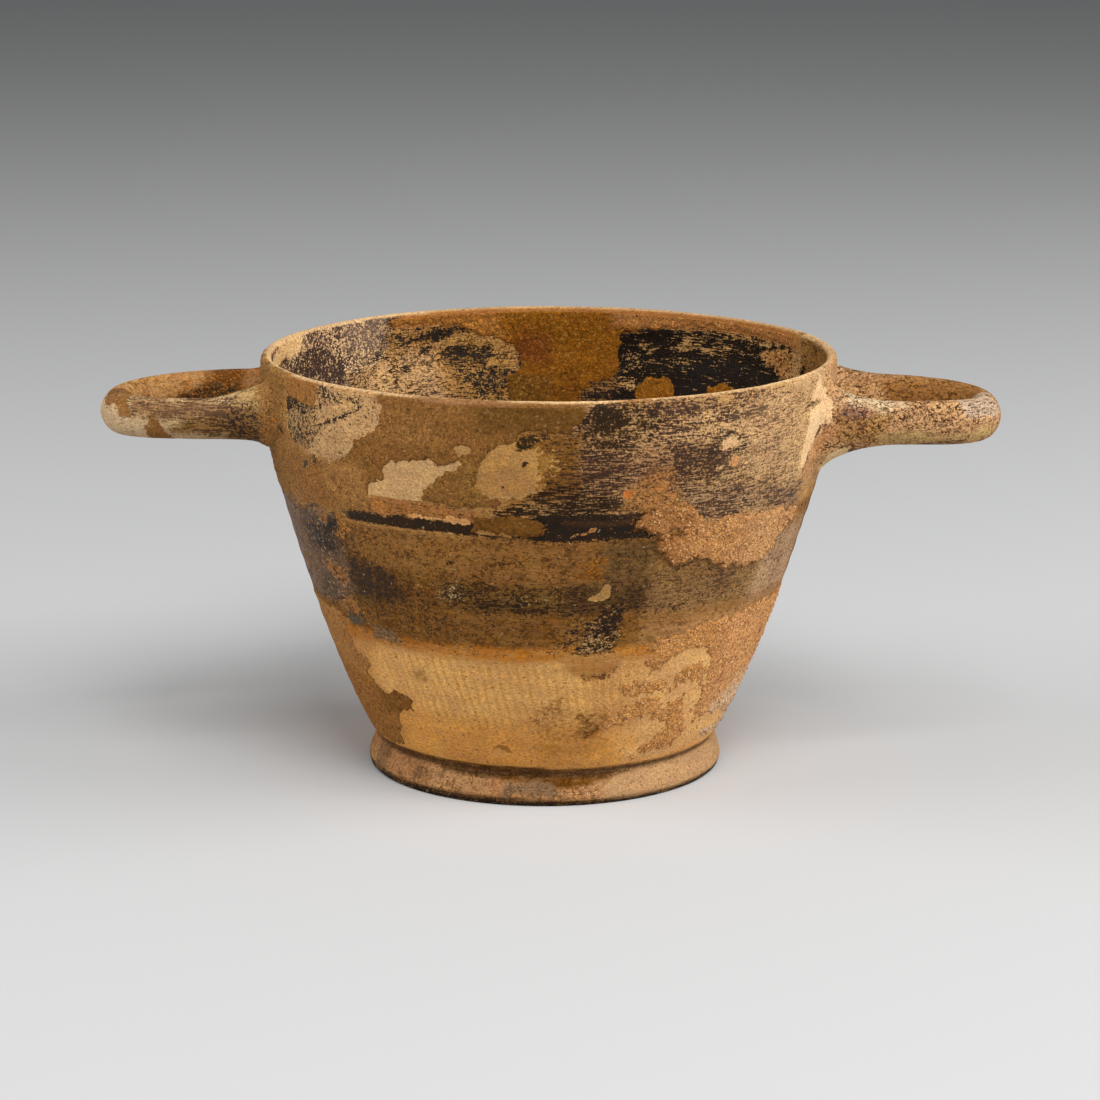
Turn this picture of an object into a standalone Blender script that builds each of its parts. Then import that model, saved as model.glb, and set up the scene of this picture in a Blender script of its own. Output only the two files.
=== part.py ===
"""A skyphos: a deep fired-clay drinking cup on a low ring foot, with two horizontal loop handles.

The cup stands on its foot, +Z up, with the middle of its whole length over the origin.
The handles point along -X and +X, just under the lip. Sizes are in metres.
The vessel, its foot and its handles were luted together before firing, so they are one solid.
"""

import math

import bmesh
import bpy
from mathutils import Matrix

# Heights above the table.
CUP_HEIGHT = 0.0881
FOOT_HEIGHT = 0.0071
FLOOR_HEIGHT = 0.0090
RECESS_DEPTH = 0.0036

# Outer radii, from the lip down.
LIP_RADIUS = 0.0600
WAIST_RADIUS = 0.0361
FOOT_RADIUS = 0.0375
FOOT_EDGE_RADIUS = 0.0368

# The shoulder, where the wall has turned upright: how far below the lip it is, and how much wider.
SHOULDER_DEPTH = 0.0089
SHOULDER_SWELL = 0.0001

# How the wall leaves the foot and how gently it turns upright at the shoulder.
WAIST_FLARE_ANGLE = math.radians(57.0)
WAIST_FLARE_PULL = 0.0172
SHOULDER_PULL = 0.0088

# The cup was set a little askew: where the middle of its foot stands, and how far the lip leans from there.
FOOT_MIDDLE = -0.0012
LEAN = 0.0010

# Thickness of the clay.
LIP_THICKNESS = 0.0022
WALL_THICKNESS = 0.0031
FLOOR_CORNER_RADIUS = 0.0090
FLOOR_CORNER_PULL = 0.55
FLOOR_RISE = 0.0007

# Foot ring.
FOOT_GROOVE_DEPTH = 0.0006
FOOT_FLANK_HEIGHT = 0.0018
FOOT_RING_WIDTH = 0.0058
RECESS_SLOPE = 0.0015

# Handles. The loop is an oval strap, a depth below the lip, and it swells where it meets the wall.
HANDLE_REACH = {"left": 0.0938, "right": 0.0948}
HANDLE_DEPTH = {"left": 0.0113, "right": 0.0122}
HANDLE_DROOP = {"left": 0.0009, "right": 0.0012}
HANDLE_SPREAD = 0.0360
HANDLE_NARROWING = 0.0004
HANDLE_SECTION_WIDTH = 0.0072
HANDLE_SECTION_HEIGHT = {"left": 0.0085, "right": 0.0090}
HANDLE_TIP_PULL = 0.0158
HANDLE_LIMB_PULL = 0.0255
ROOT_LENGTH = {"left": 0.0070, "right": 0.0140}
ROOT_RISE = {"left": 0.0052, "right": 0.0062}
ROOT_DROP = {"left": 0.0016, "right": 0.0052}
ROOT_SIDE_SWELL = 0.0018

# The left handle's near limb also grows upwards on its way to the wall, where clay was drawn up along it.
LEFT_NEAR_ROOT_LENGTH = 0.0120
LEFT_NEAR_ROOT_RISE = 0.0036
LEFT_NEAR_ROOT_CURVE = 1.3

# Facets.
TURNING_STEPS = 80
WALL_STEPS = 12
ROUND_STEPS = 4
SECTION_SIDES = 14
HANDLE_STEPS = 16
CORE_OVERSHOOT = 0.0060

CLAY_COLOUR = (0.52, 0.30, 0.14, 1.0)
CLAY_ROUGHNESS = 0.8
MERGE_DISTANCE = 1e-7
SHARP_ANGLE = math.radians(40.0)


def remove_everything():
    """Empties the scene that this file is run in."""
    for item in list(bpy.data.objects):
        bpy.data.objects.remove(item)


def fired_clay():
    """The buff fired clay of the whole cup."""
    material = bpy.data.materials.new("fired_clay")
    material.use_nodes = True
    shader = material.node_tree.nodes["Principled BSDF"]
    shader.inputs["Base Color"].default_value = CLAY_COLOUR
    shader.inputs["Roughness"].default_value = CLAY_ROUGHNESS
    shader.inputs["Metallic"].default_value = 0.0
    return material


def cubic(start, start_handle, end_handle, end, share):
    """A point on a cubic curve in the plane, at a share from 0 to 1."""
    rest = 1.0 - share
    weights = (rest**3, 3 * rest * rest * share, 3 * rest * share * share, share**3)
    corners = (start, start_handle, end_handle, end)
    return tuple(sum(w * p[axis] for w, p in zip(weights, corners)) for axis in (0, 1))


def arc(centre, radii, start_degrees, end_degrees, steps=ROUND_STEPS):
    """Points of an elliptical arc in the plane, both ends included."""
    points = []
    for step in range(steps + 1):
        angle = math.radians(start_degrees + (end_degrees - start_degrees) * step / steps)
        points.append((centre[0] + radii[0] * math.cos(angle), centre[1] + radii[1] * math.sin(angle)))
    return points


def wall_curve():
    """The outside of the wall from the foot to the shoulder, as (radius, height)."""
    waist = (WAIST_RADIUS, FOOT_HEIGHT)
    shoulder = (LIP_RADIUS + SHOULDER_SWELL, CUP_HEIGHT - SHOULDER_DEPTH)
    waist_handle = (
        waist[0] + WAIST_FLARE_PULL * math.cos(WAIST_FLARE_ANGLE),
        waist[1] + WAIST_FLARE_PULL * math.sin(WAIST_FLARE_ANGLE),
    )
    shoulder_handle = (shoulder[0], shoulder[1] - SHOULDER_PULL)
    return [
        cubic(waist, waist_handle, shoulder_handle, shoulder, step / WALL_STEPS)
        for step in range(WALL_STEPS + 1)
    ]


def outer_radius(height):
    """The wall's outer radius at a height, between the foot and the lip."""
    curve = wall_curve() + [(LIP_RADIUS, CUP_HEIGHT)]
    for low, high in zip(curve, curve[1:]):
        if low[1] <= height <= high[1]:
            share = (height - low[1]) / (high[1] - low[1])
            return low[0] + share * (high[0] - low[0])
    return curve[0][0] if height < curve[0][1] else curve[-1][0]


def offset_inwards(curve, thickness):
    """The curve moved square to itself towards the axis, by a thickness for each of its points."""
    moved = []
    for index, (radius, height) in enumerate(curve):
        before = curve[max(index - 1, 0)]
        after = curve[min(index + 1, len(curve) - 1)]
        run, rise = after[0] - before[0], after[1] - before[1]
        length = math.hypot(run, rise)
        wall = thickness[index]
        moved.append((radius - wall * rise / length, height + wall * run / length))
    return moved


def foot_outline():
    """The foot's underside, resting ring and rounded flank, from the axis to the waist."""
    ring_inner = FOOT_EDGE_RADIUS - FOOT_RING_WIDTH
    flank = arc(
        (FOOT_EDGE_RADIUS, FOOT_FLANK_HEIGHT),
        (FOOT_RADIUS - FOOT_EDGE_RADIUS, FOOT_FLANK_HEIGHT),
        -90,
        0,
        ROUND_STEPS // 2,
    )
    widest = (FOOT_RADIUS, FOOT_FLANK_HEIGHT)
    groove = (WAIST_RADIUS - FOOT_GROOVE_DEPTH, FOOT_HEIGHT - FOOT_GROOVE_DEPTH)
    crown_rise = groove[1] - widest[1]
    crown = [
        cubic(
            widest,
            (widest[0], widest[1] + crown_rise / 3),
            (groove[0] + crown_rise / 6, groove[1] - crown_rise / 6),
            groove,
            step / ROUND_STEPS,
        )
        for step in range(ROUND_STEPS + 1)
    ]
    recess = [(0.0, RECESS_DEPTH), (ring_inner - RECESS_SLOPE, RECESS_DEPTH)]
    return recess + [(ring_inner, 0.0)] + flank + crown[1:]


def inner_outline(outside):
    """The inside of the cup, from just under the lip down to the middle of the floor."""
    steps = len(outside) - 1
    thinning = WALL_THICKNESS - LIP_THICKNESS
    thickness = [WALL_THICKNESS - thinning * (step / steps) ** 3 for step in range(steps + 1)]
    inside = offset_inwards(outside, thickness)
    corner_top = FLOOR_HEIGHT + FLOOR_CORNER_RADIUS
    wall = [point for point in reversed(inside) if point[1] > corner_top]
    foot_of_wall = wall[-1]
    floor_edge = (foot_of_wall[0] - FLOOR_CORNER_RADIUS, FLOOR_HEIGHT)
    below = wall[-2][0] - foot_of_wall[0], wall[-2][1] - foot_of_wall[1]
    pull = FLOOR_CORNER_PULL * (foot_of_wall[1] - FLOOR_HEIGHT) / below[1]
    corner = [
        cubic(
            foot_of_wall,
            (foot_of_wall[0] - pull * below[0], foot_of_wall[1] - pull * below[1]),
            (floor_edge[0] + FLOOR_CORNER_PULL * FLOOR_CORNER_RADIUS, FLOOR_HEIGHT),
            floor_edge,
            step / ROUND_STEPS,
        )
        for step in range(1, ROUND_STEPS + 1)
    ]
    return wall + corner + [(0.0, FLOOR_HEIGHT + FLOOR_RISE)]


def lip_outline():
    """The rounded top of the lip, from its outer side over to its inner side."""
    half = LIP_THICKNESS / 2
    return arc((LIP_RADIUS - half, CUP_HEIGHT - half), (half, half), 0, 180)


def turned(name, outline):
    """A solid turned round the Z axis from (radius, height) points that start and end on the axis."""
    mesh = bpy.data.meshes.new(name)
    shape = bmesh.new()
    points = [shape.verts.new((radius, 0.0, height)) for radius, height in outline]
    edges = [shape.edges.new(pair) for pair in zip(points, points[1:])]
    bmesh.ops.spin(
        shape,
        geom=points + edges,
        cent=(0, 0, 0),
        axis=(0, 0, 1),
        angle=math.tau,
        steps=TURNING_STEPS,
        use_merge=True,
    )
    bmesh.ops.remove_doubles(shape, verts=shape.verts, dist=MERGE_DISTANCE)
    bmesh.ops.recalc_face_normals(shape, faces=shape.faces)
    shape.to_mesh(mesh)
    shape.free()
    item = bpy.data.objects.new(name, mesh)
    bpy.context.scene.collection.objects.link(item)
    return item


def set_askew(item):
    """Moves an object that was made round the Z axis onto the foot's middle, and leans it towards +X."""
    askew = Matrix.Identity(4)
    askew[0][3] = FOOT_MIDDLE
    askew[0][2] = LEAN / CUP_HEIGHT
    item.data.transform(askew)


def hide_as_tool(item):
    """Marks an object that only shapes another one."""
    item.hide_render = True
    item.display_type = "WIRE"


def handle_path(side):
    """The middle line of one handle, from inside the wall round the loop and back."""
    sign = -1.0 if side == "left" else 1.0
    height = CUP_HEIGHT - HANDLE_DEPTH[side]
    start = outer_radius(height)
    buried = start - 2 * WALL_THICKNESS - HANDLE_SECTION_WIDTH
    tip_reach = HANDLE_REACH[side] - HANDLE_SECTION_WIDTH / 2
    root = (buried, HANDLE_SPREAD / 2)
    root_handle = (buried + HANDLE_LIMB_PULL, HANDLE_SPREAD / 2 - HANDLE_NARROWING)
    tip_handle = (tip_reach, HANDLE_TIP_PULL)
    tip = (tip_reach, 0.0)
    half = [
        cubic(root, root_handle, tip_handle, tip, step / HANDLE_STEPS)
        for step in range(HANDLE_STEPS + 1)
    ]
    plan = half + [(x, -y) for x, y in reversed(half[:-1])]
    path = []
    for x, y in plan:
        way_out = max(0.0, (x - start) / (tip_reach - start))
        path.append((sign * x, y, height - HANDLE_DROOP[side] * way_out**2))
    return path


def root_swell(side, distance):
    """How far into its swelling root a handle is at a distance from the axis: 0 in the loop, 1 at the wall."""
    wall = outer_radius(CUP_HEIGHT - HANDLE_DEPTH[side])
    depth = 1.0 - (distance - wall) / ROOT_LENGTH[side]
    depth = min(max(depth, 0.0), 1.0)
    return 1.0 - math.sqrt(1.0 - depth * depth)


def near_root_rise(side, x, y):
    """How much the left handle's near limb has grown upwards at a point of its path, and nothing elsewhere."""
    if side == "right" or y > 0.0:
        return 0.0
    wall = outer_radius(CUP_HEIGHT - HANDLE_DEPTH[side])
    depth = 1.0 - (math.hypot(x, y) - wall) / LEFT_NEAR_ROOT_LENGTH
    return LEFT_NEAR_ROOT_RISE * min(max(depth, 0.0), 1.0) ** LEFT_NEAR_ROOT_CURVE


def handle_tube(side):
    """One handle as a closed tube of oval section, with both ends buried past the wall."""
    path = handle_path(side)
    mesh = bpy.data.meshes.new("handle_" + side)
    shape = bmesh.new()
    rings = []
    for index, (x, y, z) in enumerate(path):
        before, after = path[max(index - 1, 0)], path[min(index + 1, len(path) - 1)]
        run, sideways = after[0] - before[0], after[1] - before[1]
        length = math.hypot(run, sideways)
        across = (-sideways / length, run / length)
        swell = root_swell(side, math.hypot(x, y))
        half_width = HANDLE_SECTION_WIDTH / 2 + ROOT_SIDE_SWELL * swell
        growth = max(ROOT_RISE[side] * swell, near_root_rise(side, x, y))
        upper = HANDLE_SECTION_HEIGHT[side] / 2 + growth
        lower = HANDLE_SECTION_HEIGHT[side] / 2 + ROOT_DROP[side] * swell
        ring = []
        for corner in range(SECTION_SIDES):
            angle = math.tau * corner / SECTION_SIDES
            out = half_width * math.cos(angle)
            up = math.sin(angle)
            up *= upper if up > 0 else lower
            ring.append(shape.verts.new((x + across[0] * out, y + across[1] * out, z + up)))
        rings.append(ring)
    for first, second in zip(rings, rings[1:]):
        for corner in range(SECTION_SIDES):
            after = (corner + 1) % SECTION_SIDES
            shape.faces.new((first[corner], first[after], second[after], second[corner]))
    shape.faces.new(rings[0])
    shape.faces.new(rings[-1])
    bmesh.ops.recalc_face_normals(shape, faces=shape.faces)
    shape.to_mesh(mesh)
    shape.free()
    item = bpy.data.objects.new("handle_" + side, mesh)
    bpy.context.scene.collection.objects.link(item)
    return item


def add_boolean(item, operand, operation):
    """Adds a Boolean modifier with the exact solver."""
    boolean = item.modifiers.new(operand.name, "BOOLEAN")
    boolean.operation = operation
    boolean.solver = "EXACT"
    boolean.object = operand


def cavity_core():
    """A tool that fills the cup to the middle of its wall, to trim the handle roots there."""
    outside = wall_curve() + [(LIP_RADIUS, CUP_HEIGHT + CORE_OVERSHOOT)]
    middle = [(radius - WALL_THICKNESS / 2, height) for radius, height in outside]
    return turned("cavity_core", [(0.0, middle[0][1])] + middle + [(0.0, middle[-1][1])])


def build():
    """Builds the cup."""
    remove_everything()
    outside = wall_curve()
    lip_side = (LIP_RADIUS, CUP_HEIGHT - LIP_THICKNESS / 2)
    lip = lip_outline()
    inside = inner_outline(outside + [lip_side])
    vessel = turned("skyphos", foot_outline() + outside + lip + inside[1:])
    vessel.data.materials.append(fired_clay())
    set_askew(vessel)
    core = cavity_core()
    set_askew(core)
    hide_as_tool(core)
    for side in ("left", "right"):
        handle = handle_tube(side)
        set_askew(handle)
        add_boolean(handle, core, "DIFFERENCE")
        hide_as_tool(handle)
        add_boolean(vessel, handle, "UNION")
    vessel.data.shade_smooth()
    vessel.data.set_sharp_from_angle(angle=SHARP_ANGLE)


build()
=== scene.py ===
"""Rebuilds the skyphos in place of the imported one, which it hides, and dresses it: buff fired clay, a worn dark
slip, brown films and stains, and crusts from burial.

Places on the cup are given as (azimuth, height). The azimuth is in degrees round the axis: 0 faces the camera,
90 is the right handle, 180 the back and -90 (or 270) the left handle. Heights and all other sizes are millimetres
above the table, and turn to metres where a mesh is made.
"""

import itertools
import logging
import math
from dataclasses import dataclass, field, replace
from enum import Enum

import bmesh
import bpy
import numpy as np
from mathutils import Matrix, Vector

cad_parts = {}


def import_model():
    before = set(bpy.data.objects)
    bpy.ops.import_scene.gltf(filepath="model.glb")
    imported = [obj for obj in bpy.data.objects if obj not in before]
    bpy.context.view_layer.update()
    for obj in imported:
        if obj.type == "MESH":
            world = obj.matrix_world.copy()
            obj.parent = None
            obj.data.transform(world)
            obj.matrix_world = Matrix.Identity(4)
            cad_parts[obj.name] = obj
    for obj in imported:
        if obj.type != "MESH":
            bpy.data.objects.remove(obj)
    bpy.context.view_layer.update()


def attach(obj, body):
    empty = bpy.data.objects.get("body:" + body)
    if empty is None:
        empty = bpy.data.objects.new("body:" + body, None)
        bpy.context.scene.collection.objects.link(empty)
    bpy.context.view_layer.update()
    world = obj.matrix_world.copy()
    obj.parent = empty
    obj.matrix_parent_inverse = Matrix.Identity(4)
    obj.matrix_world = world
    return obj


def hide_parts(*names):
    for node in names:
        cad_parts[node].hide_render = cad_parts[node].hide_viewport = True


MM = 0.001
BODY = "root"
NODE = "skyphos"
# Stands in for an edge's length or slope of 0 in a division.
TINY = 1e-9

# Sockets of the shader's colour mixing node.
FACTOR, FIRST, SECOND, MIXED = 0, 6, 7, 2

Tree = bpy.types.NodeTree
Socket = bpy.types.NodeSocket
Sockets = dict[str, Socket]
Span = tuple[float, float]
Place = tuple[float, float, float]
# Names of patterns, each with what it counts for.
Shares = tuple[tuple[str, float], ...]

log = logging.getLogger("skyphos")


def linear(hex_colour: str) -> tuple[float, float, float, float]:
    """Turns an sRGB hex colour into the linear colour that shaders and attributes use.

    Args:
        hex_colour: Six hex digits after a hash sign.

    Returns:
        Red, green, blue and an alpha of 1.
    """
    channels = []
    for start in (1, 3, 5):
        value = int(hex_colour[start : start + 2], 16) / 255.0
        channels.append(value / 12.92 if value <= 0.04045 else ((value + 0.055) / 1.055) ** 2.4)
    return (*channels, 1.0)


def smooth_step(values: np.ndarray, low: float, high: float) -> np.ndarray:
    """Rises smoothly from 0 at low to 1 at high."""
    share = np.clip((values - low) / (high - low), 0.0, 1.0)
    return share * share * (3.0 - 2.0 * share)


def add_node(
    tree: Tree,
    kind: str,
    inputs: dict[str | int, object] | None = None,
    **settings: object,
) -> bpy.types.Node:
    """Adds a node with its settings, its plain values and its links.

    Args:
        tree: The tree that the node goes into.
        kind: The node's type name.
        inputs: For each input, by name or number, a plain value or the output socket that it is linked to.
        **settings: Properties of the node itself.

    Returns:
        The new node.
    """
    node = tree.nodes.new(kind)
    for name, value in settings.items():
        setattr(node, name, value)
    for key, value in (inputs or {}).items():
        if isinstance(value, Socket):
            tree.links.new(value, node.inputs[key])
        else:
            node.inputs[key].default_value = value
    return node


def new_mesh(name: str, points: np.ndarray, faces: list[tuple[int, ...]] | np.ndarray) -> bpy.types.Object:
    """Makes a mesh object at the origin from points in millimetres.

    Args:
        name: The object's name.
        points: One row of x, y and z for each vertex.
        faces: Vertex numbers of each face.

    Returns:
        The object, linked to the scene.
    """
    mesh = bpy.data.meshes.new(name)
    mesh.from_pydata((points * MM).tolist(), [], [tuple(int(corner) for corner in face) for face in faces])
    item = bpy.data.objects.new(name, mesh)
    bpy.context.scene.collection.objects.link(item)
    return item


def points_of(item: bpy.types.Object) -> np.ndarray:
    """The object's vertices in millimetres, one row each."""
    flat = np.empty(len(item.data.vertices) * 3, dtype=np.float32)
    item.data.vertices.foreach_get("co", flat)
    return flat.reshape(-1, 3).astype(float) / MM


def move_points(item: bpy.types.Object, points: np.ndarray) -> None:
    """Puts the object's vertices at points given in millimetres."""
    item.data.vertices.foreach_set("co", (points * MM).astype(np.float32).ravel())
    item.data.update()


def normals_of(item: bpy.types.Object) -> np.ndarray:
    """The object's vertex normals, one row each."""
    flat = np.empty(len(item.data.vertices) * 3, dtype=np.float32)
    item.data.vertex_normals.foreach_get("vector", flat)
    return flat.reshape(-1, 3).astype(float)


def evaluated(item: bpy.types.Object) -> bpy.types.Mesh:
    """The object's mesh as its modifiers make it."""
    graph = bpy.context.evaluated_depsgraph_get()
    return bpy.data.meshes.new_from_object(item.evaluated_get(graph), depsgraph=graph)


def face_outward(item: bpy.types.Object) -> None:
    """Turns every face of a closed mesh outwards."""
    shape = bmesh.new()
    shape.from_mesh(item.data)
    bmesh.ops.recalc_face_normals(shape, faces=shape.faces)
    shape.to_mesh(item.data)
    shape.free()


def new_finish(name: str) -> tuple[bpy.types.Material, Tree]:
    """A material and its empty node tree."""
    material = bpy.data.materials.new(name)
    material.use_nodes = True
    material.node_tree.nodes.clear()
    return material, material.node_tree


def end_finish(tree: Tree, colour: Socket, roughness: object, relief: Socket, ior: float, specular: float) -> None:
    """Ends a finish's tree with its shader.

    Args:
        tree: The finish's tree.
        colour: Its colour.
        roughness: Its roughness, plain or from place to place.
        relief: Its relief in millimetres.
        ior: Its index of refraction.
        specular: Its specular level.
    """
    bump = add_node(tree, "ShaderNodeBump", {"Height": relief, "Distance": MM, "Strength": 1.0}).outputs[0]
    look = {"Base Color": colour, "Roughness": roughness, "Normal": bump, "IOR": ior, "Specular IOR Level": specular}
    shader = add_node(tree, "ShaderNodeBsdfPrincipled", look).outputs[0]
    add_node(tree, "ShaderNodeOutputMaterial", {"Surface": shader})


def weighted_sum(tree: Tree, values: Sockets, shares: Shares, start: object = 0.0) -> Socket:
    """Adds the nodes that sum named values.

    Args:
        tree: The tree that the nodes go into.
        values: The values by name.
        shares: The names to sum, each with what its value is multiplied by.
        start: What the sum starts from.

    Returns:
        The sum.
    """
    for name, share in shares:
        terms = {0: values[name], 1: share, 2: start}
        start = add_node(tree, "ShaderNodeMath", terms, operation="MULTIPLY_ADD").outputs[0]
    return start


@dataclass(frozen=True)
class Cover:
    """How one tint comes to lie over what is below it.

    Attributes:
        low: Where its pattern reads this, there is none of it.
        high: Where its pattern reads this, it is at its strongest.
        strength: How much it hides at its strongest, 0 to 1.
        tint: Its colour, where it has one of its own.
        soft: Whether it comes and goes gently.
    """

    low: float
    high: float
    strength: float = 1.0
    tint: str | None = None
    soft: bool = False

    def lay(
        self,
        tree: Tree,
        pattern: Socket,
        below: object,
        tint: object = None,
        strength: object = None,
    ) -> tuple[Socket, Socket]:
        """Adds the nodes that lay it over a colour.

        Args:
            tree: The finish's tree.
            pattern: What decides where it lies.
            below: The colour that it covers.
            tint: Its colour, where it has none of its own.
            strength: Its strength, where that differs from place to place.

        Returns:
            How much it hides at each place, and the colour with it.
        """
        strongest = self.strength if strength is None else strength
        span = {"Value": pattern, "From Min": self.low, "From Max": self.high, "To Max": strongest}
        curve = "SMOOTHSTEP" if self.soft else "LINEAR"
        hidden = add_node(tree, "ShaderNodeMapRange", span, interpolation_type=curve).outputs[0]
        over = linear(self.tint) if tint is None else tint
        mixed = add_node(tree, "ShaderNodeMix", {FACTOR: hidden, FIRST: below, SECOND: over}, data_type="RGBA")
        return hidden, mixed.outputs[MIXED]


def new_shaper(name: str, inputs: dict[str, str]) -> tuple[Tree, bpy.types.NodeOutputs]:
    """Starts a geometry node tree.

    Args:
        name: The tree's name.
        inputs: The kind of socket for each input besides the geometry and the finish.

    Returns:
        The tree, and its inputs as sockets to link from.
    """
    tree = bpy.data.node_groups.new(name, "GeometryNodeTree")
    for label, kind in {"Geometry": "Geometry", **inputs, "Finish": "Material"}.items():
        tree.interface.new_socket(label, in_out="INPUT", socket_type=f"NodeSocket{kind}")
    tree.interface.new_socket("Geometry", in_out="OUTPUT", socket_type="NodeSocketGeometry")
    return tree, add_node(tree, "NodeGroupInput").outputs


def end_shaper(tree: Tree, geometry: Socket, finish: Socket) -> None:
    """Ends a geometry node tree: everything in it is made real and gets the finish."""
    real = add_node(tree, "GeometryNodeRealizeInstances", {"Geometry": geometry}).outputs[0]
    dressed = add_node(tree, "GeometryNodeSetMaterial", {"Geometry": real, "Material": finish}).outputs[0]
    add_node(tree, "NodeGroupOutput", {"Geometry": dressed})


def shaped(item: bpy.types.Object, tree: Tree, values: dict[str, object]) -> bpy.types.Object:
    """Lets a node tree shape an object.

    Args:
        item: The object, which is removed.
        tree: The tree.
        values: The tree's inputs by name.

    Returns:
        A plain mesh object of the same name.
    """
    shaping = item.modifiers.new(tree.name, "NODES")
    shaping.node_group = tree
    for socket in tree.interface.items_tree:
        if socket.name in values:
            shaping[socket.identifier] = values[socket.name]
    mesh, name = evaluated(item), item.name
    bpy.data.objects.remove(item)
    plain = bpy.data.objects.new(name, mesh)
    bpy.context.scene.collection.objects.link(plain)
    return plain


class Grain:
    """Smooth seeded noise in space, for relief and for ragged edges."""

    LATTICE = 8192
    STEPS = (73856093, 19349663, 83492791)
    # How far each octave is moved from the one before, in cells, and how much lower it is.
    SHIFT = 31.7
    FALL = 0.6

    def __init__(self, seed: int) -> None:
        """Draws the lattice's values."""
        self.seed = seed
        self.values = np.random.default_rng(seed).uniform(-1.0, 1.0, self.LATTICE)

    def at(self, points: np.ndarray, size: float | Place, octaves: int = 1) -> np.ndarray:
        """Reads the noise.

        Args:
            points: Places in millimetres, one row each.
            size: Size of the largest lumps, in millimetres, or one size for each of x, y and z.
            octaves: How many times smaller and lower lumps are added to the first.

        Returns:
            A value round 0 for each point, mostly between -0.7 and 0.7.
        """
        total = np.zeros(len(points))
        height = 1.0
        power = 0.0
        for octave in range(octaves):
            cell = points / np.asarray(size, dtype=float) * 2**octave + self.SHIFT * (octave + 1)
            base = np.floor(cell).astype(np.int64)
            part = cell - base
            part = part * part * (3.0 - 2.0 * part)
            for corner in itertools.product((0, 1), repeat=3):
                weight = np.ones(len(points))
                key = np.zeros(len(points), dtype=np.int64)
                for axis in range(3):
                    weight *= part[:, axis] if corner[axis] else 1.0 - part[:, axis]
                    key ^= (base[:, axis] + corner[axis]) * self.STEPS[axis]
                total += height * weight * self.values[key % self.LATTICE]
            power += height * height
            height *= self.FALL
        return total / math.sqrt(power)


class Side(Enum):
    """Which face of the wall a place is on."""

    OUTSIDE = "outside"
    INSIDE = "inside"


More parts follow.
